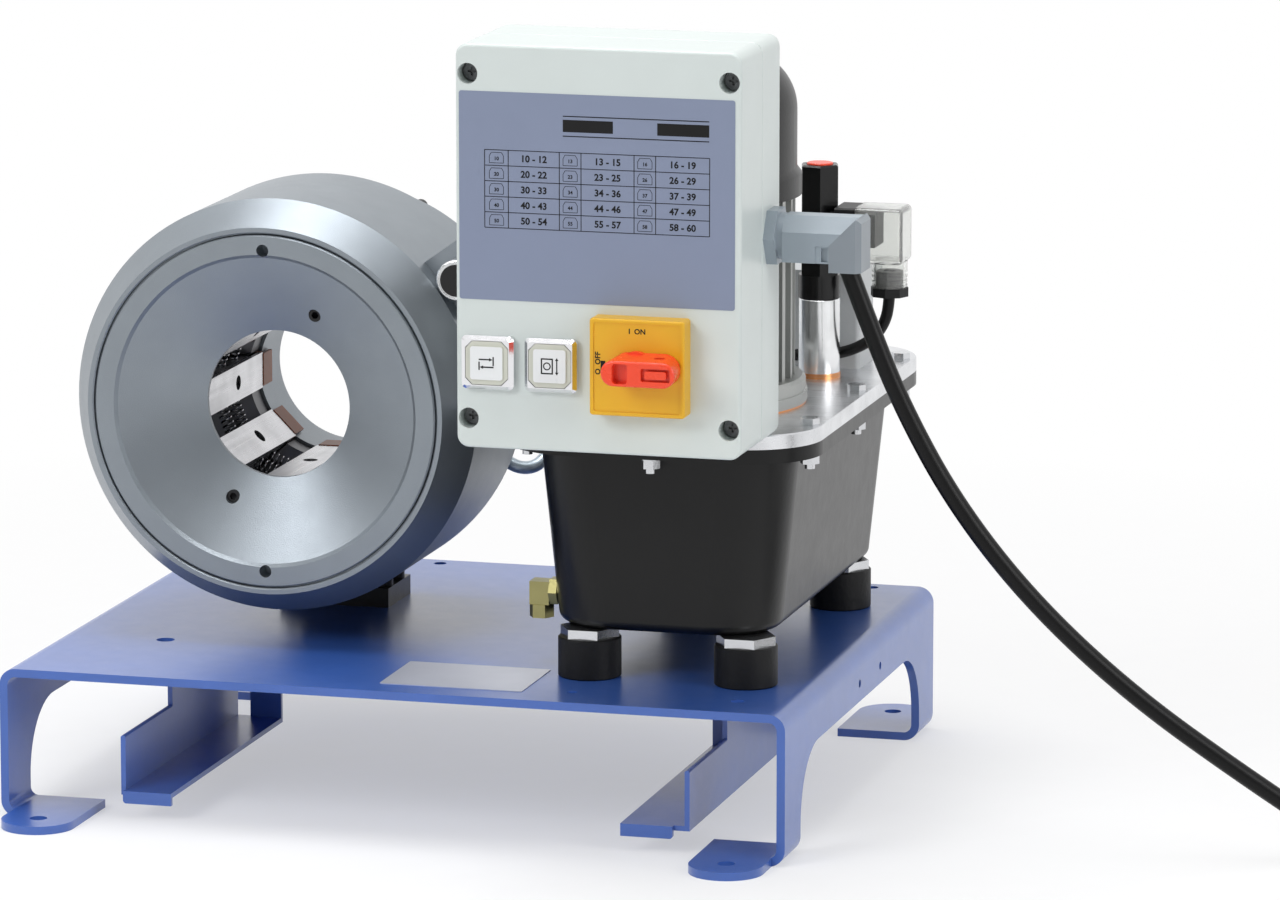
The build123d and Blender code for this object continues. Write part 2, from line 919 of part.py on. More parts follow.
# ================================================================ power unit
cover_bolt_x = [unit_x - cover_size[0] / 2 + cover_bolt_inset, unit_x + cover_size[0] / 2 - cover_bolt_inset]
cover_bolt_places = [(x, unit_y + step * cover_bolt_pitch) for x in cover_bolt_x for step in (-1, 0, 1)]
cover_bolt_places += [(unit_x, unit_y + cover_size[1] / 2 - cover_bolt_inset)]
flush_bolt = (unit_x, unit_y - cover_size[1] / 2 + cover_bolt_inset)
plate_bottom = cover_top - cover_plate

with BuildPart() as tank:
    with BuildSketch(Plane.XY.offset(tank_bottom)):
        with Locations((unit_x, unit_y)):
            RectangleRounded(*tank_bottom_size, tank_corner)
    with BuildSketch(Plane.XY.offset(rim_bottom)):
        with Locations((unit_x, unit_y)):
            RectangleRounded(*tank_top_size, tank_corner)
    loft()
    fillet(tank.edges().group_by(Axis.Z)[0], 6)
    with BuildSketch(Plane.XY.offset(rim_bottom)):
        with Locations((unit_x, unit_y)):
            RectangleRounded(*cover_size, cover_corner)
    extrude(amount=rim_height)
    with BuildSketch(Plane.XY.offset(tank_bottom + tank_wall)):
        with Locations((unit_x, unit_y)):
            RectangleRounded(
                tank_bottom_size[0] - 2 * tank_wall,
                tank_bottom_size[1] - 2 * tank_wall,
                tank_corner - tank_wall,
            )
    with BuildSketch(Plane.XY.offset(plate_bottom)):
        with Locations((unit_x, unit_y)):
            RectangleRounded(
                tank_top_size[0] - 2 * tank_wall,
                tank_top_size[1] - 2 * tank_wall,
                tank_corner - tank_wall,
            )
    loft(mode=Mode.SUBTRACT)
    with Locations(*[(x, y, plate_bottom) for x, y in cover_bolt_places + [flush_bolt]]):
        Hole(bolt_d / 2 + bolt_clearance, rim_height)
    with BuildSketch(Plane.YZ.offset(unit_x - tank_top_size[0] / 2)):
        with Locations((drain_y, tank_bottom + drain_height)):
            Circle(drain_d / 2)
    extrude(amount=30, mode=Mode.SUBTRACT)
tank.part.label = "tank"
export_step(tank.part, "parts/tank.step")

with BuildPart() as cover:
    with BuildSketch(Plane.XY.offset(plate_bottom)):
        with Locations((unit_x, unit_y)):
            RectangleRounded(*cover_size, cover_corner)
        with Locations(*cover_bolt_places, flush_bolt):
            Circle(bolt_d / 2 + bolt_clearance, mode=Mode.SUBTRACT)
        with Locations((motor_x, motor_y)):
            Circle(pump_spigot_radius + bolt_clearance, mode=Mode.SUBTRACT)
        with Locations((valve_x, valve_y)):
            Circle(valve_stem_d / 2 + bolt_clearance, mode=Mode.SUBTRACT)
        with Locations((pipe_x, pipe_y)):
            Circle(pipe_d / 2 + bolt_clearance, mode=Mode.SUBTRACT)
    extrude(amount=cover_plate)
    chamfer(cover.faces().sort_by(Axis.Z)[-1].outer_wire().edges(), 0.8)
    with BuildSketch(Plane.XY.offset(cover_top)):
        with Locations(flush_bolt):
            Circle(bolt_d + bolt_clearance)
    with BuildSketch(Plane.XY.offset(cover_top - bolt_d / 2)):
        with Locations(flush_bolt):
            Circle(bolt_d / 2 + bolt_clearance)
    loft(mode=Mode.SUBTRACT)
cover.part.label = "cover_plate"
export_step(cover.part, "parts/cover_plate.step")

with BuildPart() as cover_bolts:
    with BuildSketch(Plane.XY.offset(cover_top)):
        with Locations(*cover_bolt_places):
            RegularPolygon(bolt_flats / 2, 6, major_radius=False)
    extrude(amount=bolt_head)
    with BuildSketch(Plane.XY.offset(cover_top - 0.1)):
        with Locations(flush_bolt):
            Circle(bolt_d)
    with BuildSketch(Plane.XY.offset(cover_top - bolt_d / 2)):
        with Locations(flush_bolt):
            Circle(bolt_d / 2)
    loft()
    with BuildSketch(Plane.XY.offset(cover_top - 1)):
        with Locations(*cover_bolt_places, flush_bolt):
            Circle(bolt_d / 2)
    extrude(amount=1 - cover_plate - rim_height - washer - nut_height - bolt_overhang)
    with BuildSketch(Plane.XY.offset(rim_bottom)):
        with Locations(*cover_bolt_places, flush_bolt):
            Circle(bolt_flats / 2 + 0.5)
    extrude(amount=-washer)
    with BuildSketch(Plane.XY.offset(rim_bottom - washer)):
        with Locations(*cover_bolt_places, flush_bolt):
            RegularPolygon(bolt_flats / 2, 6, major_radius=False)
    extrude(amount=-nut_height)
cover_bolts.part.label = "cover_bolts"
export_step(cover_bolts.part, "parts/cover_bolts.step")

buffer_places = [(x, y) for x in buffer_x for y in buffer_y]
with BuildPart() as rubber_buffers:
    with BuildSketch(Plane.XY.offset(plate_top)):
        with Locations(*buffer_places):
            Circle(buffer_d / 2)
    extrude(amount=buffer_height)
    chamfer(rubber_buffers.edges().filter_by(GeomType.CIRCLE), 0.8)
rubber_buffers.part.label = "rubber_buffers"
export_step(rubber_buffers.part, "parts/rubber_buffers.step")

with BuildPart() as buffer_fasteners:
    with BuildSketch(Plane.XY.offset(plate_top + buffer_height)):
        with Locations(*buffer_places):
            RegularPolygon(spacer_flats / 2, 6, major_radius=False)
    extrude(amount=spacer_height)
    with BuildSketch(Plane.XY.offset(plate_top)):
        with Locations(*buffer_places):
            Circle(stud_d / 2)
    extrude(amount=-base_sheet - stud_nut_height - bolt_overhang)
    with BuildSketch(Plane.XY.offset(plate_top - base_sheet)):
        with Locations(*buffer_places):
            RegularPolygon(stud_nut_flats / 2, 6, major_radius=False)
    extrude(amount=-stud_nut_height)
buffer_fasteners.part.label = "buffer_fasteners"
export_step(buffer_fasteners.part, "parts/buffer_fasteners.step")

# elbow with a screw plug, screwed into the tank's left wall just above its floor
tank_taper = (tank_top_size[0] - tank_bottom_size[0]) / 2 / (rim_bottom - tank_bottom)
drain_wall_x = unit_x - tank_bottom_size[0] / 2 - tank_taper * (drain_height + 9) - 0.1
drain_z = tank_bottom + drain_height
with BuildPart() as drain_fitting:
    with BuildSketch(Plane.YZ.offset(drain_wall_x)):
        with Locations((drain_y, drain_z)):
            RegularPolygon(7.5, 6, major_radius=False)
    extrude(amount=-5)
    with BuildSketch(Plane.YZ.offset(drain_wall_x)):
        with Locations((drain_y, drain_z)):
            Circle(drain_d / 2 - 0.15)
    extrude(amount=tank_wall + 3)
    with BuildSketch(Plane.XY.offset(drain_z + 6)):
        with Locations((drain_wall_x - 11, drain_y)):
            Rectangle(12, 12)
    extrude(amount=-14)
    with BuildSketch(Plane.XY.offset(drain_z - 8)):
        with Locations((drain_wall_x - 11, drain_y)):
            RegularPolygon(6.5, 6, major_radius=False)
    extrude(amount=-8)
drain_fitting.part.label = "drain_fitting"
export_step(drain_fitting.part, "parts/drain_fitting.step")

# ---------------------------------------------------------------- motor and pump
flange_top = cover_top + motor_flange
motor_axis = Axis((motor_x, motor_y, 0), (0, 0, 1))
motor_section = Plane(origin=(motor_x, motor_y, 0), x_dir=(1, 0, 0), z_dir=(0, -1, 0))
body_radius = motor_radius - fin_depth
with BuildPart() as motor_housing:
    with BuildSketch(motor_section):
        with BuildLine():
            Polyline(
                (shaft_radius + bearing_clearance, cover_top + gasket),
                (motor_flange_radius, cover_top + gasket),
                (motor_flange_radius, cover_top + motor_flange / 2 - 0.5),
                (motor_flange_radius - 1, cover_top + motor_flange / 2),
                (motor_flange_radius - 1, flange_top - 2),
                (motor_flange_radius - 3, flange_top),
                (body_radius, flange_top),
                (body_radius, motor_body_top),
                (shaft_radius + bearing_clearance, motor_body_top),
                (shaft_radius + bearing_clearance, motor_body_top - end_shield),
                (stator_radius, motor_body_top - end_shield),
                (stator_radius, flange_top + end_shield),
                (shaft_radius + bearing_clearance, flange_top + end_shield),
                close=True,
            )
        make_face()
    revolve(axis=motor_axis)
    with BuildSketch(Plane.XY.offset(flange_top)):
        with Locations((motor_x, motor_y)):
            with PolarLocations(body_radius + fin_depth / 2 - 1, fin_count):
                Rectangle(fin_depth, fin_width)
    extrude(amount=motor_body_top - flange_top - hood_skirt - 1)
motor_housing.part.label = "motor_housing"
export_step(motor_housing.part, "parts/motor_housing.step")

skirt_end = motor_body_top - hood_skirt
with BuildPart() as motor_hood:
    with BuildSketch(motor_section):
        with BuildLine():
            Line((body_radius + 0.3, skirt_end), (motor_radius + hood_wall, skirt_end))
            Line((motor_radius + hood_wall, skirt_end), (motor_radius + hood_wall, motor_body_top))
            Line((motor_radius + hood_wall, motor_body_top), (motor_radius, motor_body_top + 4))
            Line((motor_radius, motor_body_top + 4), (motor_radius, motor_top - motor_dome))
            RadiusArc(
                (motor_radius, motor_top - motor_dome),
                (motor_radius - motor_dome, motor_top),
                -motor_dome,
            )
            Line((motor_radius - motor_dome, motor_top), (0, motor_top))
            Line((0, motor_top), (0, motor_top - hood_wall))
            Line((0, motor_top - hood_wall), (motor_radius - motor_dome, motor_top - hood_wall))
            RadiusArc(
                (motor_radius - motor_dome, motor_top - hood_wall),
                (motor_radius - hood_wall, motor_top - motor_dome),
                motor_dome - hood_wall,
            )
            Line(
                (motor_radius - hood_wall, motor_top - motor_dome),
                (motor_radius - hood_wall, motor_body_top + 0.2),
            )
            Line((motor_radius - hood_wall, motor_body_top + 0.2), (body_radius + 0.3, motor_body_top + 0.2))
            Line((body_radius + 0.3, motor_body_top + 0.2), (body_radius + 0.3, skirt_end))
        make_face()
    revolve(axis=motor_axis)
motor_hood.part.label = "motor_hood"
export_step(motor_hood.part, "parts/motor_hood.step")

core_bottom = flange_top + end_shield + winding_gap
core_top = motor_body_top - end_shield - winding_gap
with BuildPart() as stator:
    with BuildSketch(Plane.XY.offset(core_bottom)):
        with Locations((motor_x, motor_y)):
            Circle(stator_radius)
            Circle(stator_bore, mode=Mode.SUBTRACT)
    extrude(amount=core_top - core_bottom)
stator.part.label = "stator"
export_step(stator.part, "parts/stator.step")

shaft_bottom = pump_bottom + 20
with BuildPart() as motor_rotor:
    with BuildSketch(Plane.XY.offset(core_bottom)):
        with Locations((motor_x, motor_y)):
            Circle(rotor_radius)
    extrude(amount=core_top - core_bottom)
    with BuildSketch(Plane.XY.offset(shaft_bottom)):
        with Locations((motor_x, motor_y)):
            Circle(shaft_radius)
    extrude(amount=motor_body_top - 1 - shaft_bottom)
motor_rotor.part.label = "motor_rotor"
export_step(motor_rotor.part, "parts/motor_rotor.step")

# gear pump on a spigot through the cover plate, with its suction strainer
with BuildPart() as pump_unit:
    with BuildSketch(motor_section):
        with BuildLine():
            Polyline(
                (shaft_radius + bearing_clearance, cover_top),
                (pump_spigot_radius, cover_top),
                (pump_spigot_radius, plate_bottom),
                (pump_radius, plate_bottom),
                (pump_radius, pump_bottom),
                (strainer_radius / 2, pump_bottom),
                (strainer_radius / 2, pump_bottom - 8),
                (strainer_radius, pump_bottom - 8),
                (strainer_radius, strainer_bottom),
                (0, strainer_bottom),
                (0, shaft_bottom - 2),
                (shaft_radius + bearing_clearance, shaft_bottom - 2),
                close=True,
            )
        make_face()
    revolve(axis=motor_axis)
pump_unit.part.label = "pump_unit"
export_step(pump_unit.part, "parts/pump_unit.step")

# ---------------------------------------------------------------- release valve
with BuildPart() as valve_body:
    with BuildSketch(Plane.XY.offset(cover_top + 2 * copper_washer)):
        with Locations((valve_x, valve_y)):
            Circle(valve_d / 2)
    extrude(amount=valve_top - cover_top - 2 * copper_washer)
    with BuildSketch(Plane.XY.offset(plate_bottom - 10)):
        with Locations((valve_x, valve_y)):
            Circle(valve_stem_d / 2)
    extrude(amount=cover_plate + 2 * copper_washer + 10)
    chamfer(valve_body.edges().group_by(Axis.Z)[-1], 0.8)
valve_body.part.label = "valve_body"
export_step(valve_body.part, "parts/valve_body.step")

# two copper washers under the valve, and the gasket ring under the motor's flange
with BuildPart() as sealing_rings:
    for layer in range(2):
        with BuildSketch(Plane.XY.offset(cover_top + layer * copper_washer)):
            with Locations((valve_x, valve_y)):
                Circle(valve_d / 2 + 0.4)
                Circle(valve_stem_d / 2 + bearing_clearance, mode=Mode.SUBTRACT)
        extrude(amount=copper_washer - 0.1 * (1 - layer))
    with BuildSketch(Plane.XY.offset(cover_top)):
        with Locations((motor_x, motor_y)):
            Circle(motor_flange_radius - 0.5)
            Circle(pump_spigot_radius + bolt_clearance, mode=Mode.SUBTRACT)
    extrude(amount=gasket)
sealing_rings.part.label = "sealing_rings"
export_step(sealing_rings.part, "parts/sealing_rings.step")

with BuildPart() as solenoid:
    with BuildSketch(Plane.XY.offset(valve_top)):
        with Locations((valve_x, valve_y)):
            RegularPolygon(solenoid_flats / 2, 6, major_radius=False, rotation=solenoid_turn)
    extrude(amount=solenoid_top - valve_top)
    chamfer(solenoid.edges().group_by(Axis.Z)[-1], 1)
    with BuildSketch(Plane.XY.offset(valve_top)):
        with Locations((valve_x, valve_y)):
            Circle(valve_d / 2)
    extrude(amount=solenoid_ring)
    # flat pad that carries the connector
    with BuildSketch(Plane.YZ.offset(connector_front)):
        with Locations((valve_y, sum(connector_z) / 2)):
            Rectangle(*solenoid_pad)
    extrude(amount=valve_x + override_d / 2 + 0.8 - connector_front)
    with BuildSketch(Plane.XY.offset(solenoid_top)):
        with Locations((valve_x, valve_y)):
            Circle(override_d / 2 + cable_clearance)
    extrude(amount=-solenoid_pocket, mode=Mode.SUBTRACT)
solenoid.part.label = "solenoid"
export_step(solenoid.part, "parts/solenoid.step")

# hand override button in the top of the solenoid
with BuildPart() as override_button:
    with BuildSketch(Plane.XY.offset(solenoid_top + override_height)):
        with Locations((valve_x, valve_y)):
            Circle(override_d / 2)
    extrude(amount=override_travel + cable_clearance - solenoid_pocket - override_height)
    fillet(override_button.edges().group_by(Axis.Z)[-1], 0.8)
override_button.part.label = "override_button"
export_step(override_button.part, "parts/override_button.step")

connector_height = connector_z[1] - connector_z[0]
shell_front = connector_front + connector_base
with BuildPart() as connector_housing:
    with BuildSketch(Plane.YZ.offset(shell_front)):
        with Locations((valve_y, sum(connector_z) / 2)):
            RectangleRounded(2 * connector_half_depth, connector_height, 3)
    extrude(amount=connector_end - shell_front)
    fillet(connector_housing.edges().filter_by(Axis.Z).group_by(Axis.X)[-1], 3)
    with BuildSketch(Plane.XY.offset(connector_neck_bottom)):
        with Locations((connector_neck_x, valve_y)):
            Circle(connector_neck_radius)
    extrude(amount=connector_z[0] - connector_neck_bottom + 1)
    # ribs round the neck
    for step in range(3):
        with BuildSketch(Plane.XY.offset(connector_neck_bottom + (4 * step + 2) * connector_groove)):
            with Locations((connector_neck_x, valve_y)):
                Circle(connector_neck_radius)
                Circle(connector_neck_radius - connector_groove, mode=Mode.SUBTRACT)
        extrude(amount=2 * connector_groove, mode=Mode.SUBTRACT)
    with BuildSketch(Plane.YZ.offset(shell_front)):
        with Locations((valve_y, sum(connector_z) / 2)):
            Rectangle(2 * (connector_half_depth - connector_wall), connector_height - 2 * connector_wall)
    extrude(amount=connector_end - shell_front - connector_wall, mode=Mode.SUBTRACT)
    with BuildSketch(Plane.XY.offset(connector_neck_bottom)):
        with Locations((connector_neck_x, valve_y)):
            Circle(connector_neck_radius - connector_wall)
    extrude(amount=connector_height / 2, mode=Mode.SUBTRACT)
connector_housing.part.label = "connector_housing"
export_step(connector_housing.part, "parts/connector_housing.step")

# black base and contact block of the connector, and the clamping nut under its neck
with BuildPart() as connector_insert:
    with BuildSketch(Plane.YZ.offset(connector_front)):
        with Locations((valve_y, sum(connector_z) / 2)):
            RectangleRounded(2 * connector_half_depth - 1, connector_height - 1, 2)
    extrude(amount=connector_base)
    with BuildSketch(Plane.YZ.offset(shell_front)):
        with Locations((valve_y, sum(connector_z) / 2 + 3)):
            Rectangle(2 * (connector_half_depth - connector_wall) - 1, 20)
    extrude(amount=12)
    with BuildSketch(Plane.XY.offset(connector_nut_bottom)):
        with Locations((connector_neck_x, valve_y)):
            RegularPolygon(connector_neck_radius, 8, major_radius=False)
    extrude(amount=connector_neck_bottom - connector_nut_bottom)
    with BuildSketch(Plane.XY.offset(connector_neck_bottom)):
        with Locations((connector_neck_x, valve_y)):
            Circle(connector_neck_radius - connector_wall - cable_clearance)
    extrude(amount=10)
    with BuildSketch(Plane.XY.offset(connector_nut_bottom)):
        with Locations((connector_neck_x, valve_y)):
            Circle(valve_cable_d / 2 + cable_clearance)
    extrude(amount=connector_neck_bottom - connector_nut_bottom + 10, mode=Mode.SUBTRACT)
connector_insert.part.label = "connector_insert"
export_step(connector_insert.part, "parts/connector_insert.step")


def corner_radii(points):
    """Radius of a cable's arc at each corner of its route, and a print of the sharpest."""
    radii = []
    for before, corner, after in zip(points, points[1:], points[2:]):
        arriving = Vector(*corner) - Vector(*before)
        leaving = Vector(*after) - Vector(*corner)
        half_turn = radians(arriving.get_angle(leaving) / 2)
        radii.append(0.45 * min(arriving.length, leaving.length) / tan(half_turn))
    print("cable arc radii", [round(radius) for radius in radii])
    return radii


valve_cable_route = [
    (connector_neck_x, valve_y, connector_nut_bottom + 3.2),
    (240, 62.3, 286.5),
    (236.4, 64.1, 276),
    (229.3, 67.7, 267),
    (219.5, 72.6, 260.5),
    (207.5, 78.7, 255.3),
    (190.5, 85.8, 251.5),
    (167, 95, 250),
]
with BuildPart() as valve_cable:
    with BuildLine() as valve_cable_path:
        FilletPolyline(*valve_cable_route, radius=corner_radii(valve_cable_route))
    with BuildSketch(valve_cable_path.line ^ 0):
        Circle(valve_cable_d / 2)
    sweep()
valve_cable.part.label = "valve_cable"
export_step(valve_cable.part, "parts/valve_cable.step")

cable_entry = Plane(
    origin=valve_cable_route[-1],
    z_dir=Vector(*valve_cable_route[-2]) - Vector(*valve_cable_route[-1]),
)
with BuildPart() as terminal_box:
    with BuildSketch(Plane.XY.offset(cover_top)):
        with Locations((sum(terminal_x) / 2, sum(terminal_y) / 2)):
            RectangleRounded(terminal_x[1] - terminal_x[0], terminal_y[1] - terminal_y[0], 3)
    extrude(amount=terminal_top - cover_top)
    offset(amount=-terminal_wall, openings=terminal_box.faces().sort_by(Axis.Z)[0])
    with BuildSketch(cable_entry):
        Circle(valve_cable_d / 2 + cable_clearance)
    extrude(amount=40, mode=Mode.SUBTRACT)
terminal_box.part.label = "terminal_box"
export_step(terminal_box.part, "parts/terminal_box.step")

# ---------------------------------------------------------------- pressure pipe
port_plane = head_section(pipe_port_angle)
port_outer = port_plane.location * Location((neck_radius + 22, pipe_port_depth, 0))
port_inner = port_plane.location * Location((neck_radius - 6, pipe_port_depth, 0))
pipe_route = [
    port_inner.position,
    port_outer.position,
    (30, 100, 194),
    (34, pipe_y, 268),
    (pipe_x, pipe_y, 268),
    (pipe_x, pipe_y, plate_bottom),
]
with BuildPart() as pressure_pipe:
    with BuildLine() as pipe_path:
        FilletPolyline(*pipe_route, radius=pipe_bend)
    with BuildSketch(pipe_path.line ^ 0):
        Circle(pipe_d / 2)
    sweep()
pressure_pipe.part.label = "pressure_pipe"
export_step(pressure_pipe.part, "parts/pressure_pipe.step")

# ================================================================ control box
box_right = box_x + box_width / 2
box_middle = box_bottom + box_height / 2
seam_y = box_front + box_lid_depth
box_back = box_front + box_depth
box_screw_places = [(x, z) for x in (-lid_screw_x, lid_screw_x) for z in (-lid_screw_z, lid_screw_z)]


def box_face(y, x=box_x, z=box_middle):
    """Upright plane across the control box, its normal towards the operator."""
    return Plane(origin=(x, y, z), x_dir=(1, 0, 0), z_dir=(0, -1, 0))


def box_outline(inset=0):
    """Rounded outline of the control box, drawn smaller by an inset."""
    RectangleRounded(box_width - 2 * inset, box_height - 2 * inset, box_corner - inset)


with BuildPart() as box_base:
    with BuildSketch(box_face(seam_y)):
        box_outline()
    extrude(amount=-box_depth + box_lid_depth)
    chamfer(box_base.faces().sort_by(Axis.Y)[0].outer_wire().edges(), seam_chamfer)
    with BuildSketch(box_face(seam_y)):
        box_outline(box_wall)
        with Locations(*box_screw_places):
            Circle(box_post_radius, mode=Mode.SUBTRACT)
    extrude(amount=-box_depth + box_lid_depth + box_wall, mode=Mode.SUBTRACT)
    with BuildSketch(box_face(seam_y)):
        with Locations(*box_screw_places):
            Circle(lid_screw_d / 2 + bearing_clearance)
    extrude(amount=-lid_screw_grip, mode=Mode.SUBTRACT)
    with BuildSketch(Plane.YZ.offset(box_right)):
        with Locations((outlet_y, outlet_z)):
            Circle(outlet_hole_d / 2 + cable_clearance)
    extrude(amount=-2 * box_wall, mode=Mode.SUBTRACT)
    with BuildSketch(box_face(box_back, bracket_centre_x, 0)):
        with Locations(*bracket_screw_places):
            Circle(bracket_screw_d / 2 + bolt_clearance)
    extrude(amount=box_wall, mode=Mode.SUBTRACT)
box_base.part.label = "box_base"
export_step(box_base.part, "parts/box_base.step")

with BuildPart() as box_lid:
    with BuildSketch(box_face(box_front)):
        box_outline()
    extrude(amount=-box_lid_depth)
    chamfer(box_lid.faces().sort_by(Axis.Y)[-1].outer_wire().edges(), seam_chamfer)
    fillet(box_lid.faces().sort_by(Axis.Y)[0].outer_wire().edges(), 2)
    with BuildSketch(box_face(seam_y)):
        box_outline(box_wall)
        with Locations(*box_screw_places):
            Circle(box_post_radius, mode=Mode.SUBTRACT)
    extrude(amount=box_lid_depth - box_wall, mode=Mode.SUBTRACT)
    with BuildSketch(box_face(box_front)):
        with Locations(*box_screw_places):
            Circle(lid_recess_d / 2)
    extrude(amount=-lid_recess_depth, mode=Mode.SUBTRACT)
    with BuildSketch(box_face(box_front)):
        with Locations(*box_screw_places):
            Circle(lid_screw_d / 2 + bolt_clearance)
    extrude(amount=-box_lid_depth, mode=Mode.SUBTRACT)
    with BuildSketch(box_face(box_front, 0, 0)):
        with Locations(*[(x, button_z) for x in button_x], (switch_x, switch_z)):
            Circle(panel_hole_d / 2 + bearing_clearance)
    extrude(amount=-box_wall, mode=Mode.SUBTRACT)
box_lid.part.label = "box_lid"
export_step(box_lid.part, "parts/box_lid.step")

with BuildPart() as lid_screws:
    screw_seat = box_front + lid_recess_depth
    with BuildSketch(box_face(screw_seat)):
        with Locations(*box_screw_places):
            Circle(lid_recess_d / 2 - 1)
    extrude(amount=lid_screw_d)
    with BuildSketch(box_face(screw_seat - lid_screw_d)):
        with Locations(*box_screw_places):
            Rectangle(lid_slot_length, lid_slot_width)
            Rectangle(lid_slot_width, lid_slot_length)
    extrude(amount=-lid_screw_d / 2, mode=Mode.SUBTRACT)
    with BuildSketch(box_face(screw_seat)):
        with Locations(*box_screw_places):
            Circle(lid_screw_d / 2)
    extrude(amount=screw_seat - seam_y - lid_screw_grip + 2)
lid_screws.part.label = "lid_screws"
export_step(lid_screws.part, "parts/lid_screws.step")

# steel bracket that stands on the cover plate and carries the box by its back
bracket_back = box_back + bracket_sheet
with BuildPart() as box_bracket:
    with BuildSketch(Plane.YZ.offset(bracket_centre_x)):
        with BuildLine():
            Polyline(
                (box_back, cover_top),
                (box_back + bracket_foot, cover_top),
                (box_back + bracket_foot, cover_top + bracket_sheet),
                (bracket_back, cover_top + bracket_sheet),
                (bracket_back, bracket_top),
                (box_back, bracket_top),
                close=True,
            )
        make_face()
    extrude(amount=bracket_width / 2, both=True)
    fillet(box_bracket.edges().filter_by(Axis.Y).group_by(Axis.Z)[-1], 8)
    with BuildSketch(box_face(bracket_back, bracket_centre_x, 0)):
        with Locations(*bracket_screw_places):
            Circle(bracket_screw_d / 2 + bolt_clearance)
    extrude(amount=bracket_sheet, mode=Mode.SUBTRACT)
    with BuildSketch(Plane.XY.offset(cover_top)):
        with Locations(flush_bolt):
            Circle(bolt_d + 1)
    extrude(amount=bracket_sheet, mode=Mode.SUBTRACT)
    with BuildSketch(Plane.XY.offset(cover_top)):
        with Locations(*[(x, bracket_foot_screw_y) for x in bracket_foot_screw_x]):
            Circle(bracket_screw_d / 2 + bolt_clearance)
    extrude(amount=bracket_sheet, mode=Mode.SUBTRACT)
box_bracket.part.label = "box_bracket"
export_step(box_bracket.part, "parts/box_bracket.step")

# socket cap screws of the whole machine: four hold the foot with nuts, eight the rear cover,
# and six the box bracket
foot_screw_places = [(x, y) for x in foot_screw_x for y in foot_screw_y]
rear_screw_radius = (neck_radius + cylinder_radius) / 2
with BuildPart() as cap_screws:
    with BuildSketch(Plane.XY.offset(plate_top + foot_flange)):
        with Locations(*foot_screw_places):
            Circle(foot_screw_d * 0.8)
            RegularPolygon(foot_screw_d * 0.38, 6, major_radius=False, mode=Mode.SUBTRACT)
    extrude(amount=foot_screw_d)
    with BuildSketch(Plane.XY.offset(plate_top + foot_flange)):
        with Locations(*foot_screw_places):
            Circle(foot_screw_d / 2)
    extrude(amount=-foot_flange - base_sheet)
    with BuildSketch(Plane.XY.offset(plate_top - base_sheet)):
        with Locations(*foot_screw_places):
            RegularPolygon(6.5, 6, major_radius=False)
    extrude(amount=-6.5)
    with BuildSketch(head_face(rear_cover_end)):
        with PolarLocations(rear_screw_radius, rear_screw_count, 22.5):
            Circle(rear_screw_d * 0.75)
            RegularPolygon(rear_screw_d * 0.42, 6, major_radius=False, mode=Mode.SUBTRACT)
    extrude(amount=rear_screw_d)
    with BuildSketch(head_face(rear_cover_end)):
        with PolarLocations(rear_screw_radius, rear_screw_count, 22.5):
            Circle(rear_screw_d / 2 - 0.1)
    extrude(amount=-rear_cover_plate - 14)
    with BuildSketch(box_face(bracket_back, bracket_centre_x, 0)):
        with Locations(*bracket_screw_places):
            Circle(bracket_screw_d * 0.85)
            RegularPolygon(bracket_screw_d * 0.4, 6, major_radius=False, mode=Mode.SUBTRACT)
    extrude(amount=-bracket_screw_d)
    with BuildSketch(box_face(bracket_back, bracket_centre_x, 0)):
        with Locations(*bracket_screw_places):
            Circle(bracket_screw_d / 2)
    extrude(amount=bracket_sheet + box_wall)
    with BuildSketch(box_face(box_back - box_wall, bracket_centre_x, 0)):
        with Locations(*bracket_screw_places):
            RegularPolygon(bracket_screw_d * 0.8, 6, major_radius=False)
    extrude(amount=bracket_screw_d * 0.8)
    with BuildSketch(Plane.XY.offset(cover_top + bracket_sheet)):
        with Locations(*[(x, bracket_foot_screw_y) for x in bracket_foot_screw_x]):
            Circle(bracket_screw_d * 0.85)
            RegularPolygon(bracket_screw_d * 0.4, 6, major_radius=False, mode=Mode.SUBTRACT)
    extrude(amount=bracket_screw_d)
    with BuildSketch(Plane.XY.offset(cover_top + bracket_sheet)):
        with Locations(*[(x, bracket_foot_screw_y) for x in bracket_foot_screw_x]):
            Circle(bracket_screw_d / 2)
    extrude(amount=-bracket_sheet)
cap_screws.part.label = "cap_screws"
export_step(cap_screws.part, "parts/cap_screws.step")

# ---------------------------------------------------------------- buttons
button_places = [(x, button_z) for x in button_x]


def cap_frame(clearance=0):
    """Square outline of a button with its corners cut off."""
    side = button_frame + 2 * clearance
    with BuildSketch(mode=Mode.PRIVATE) as frame:
        Rectangle(side, side)
        chamfer(frame.vertices(), button_frame_corner)
    add(frame.sketch)


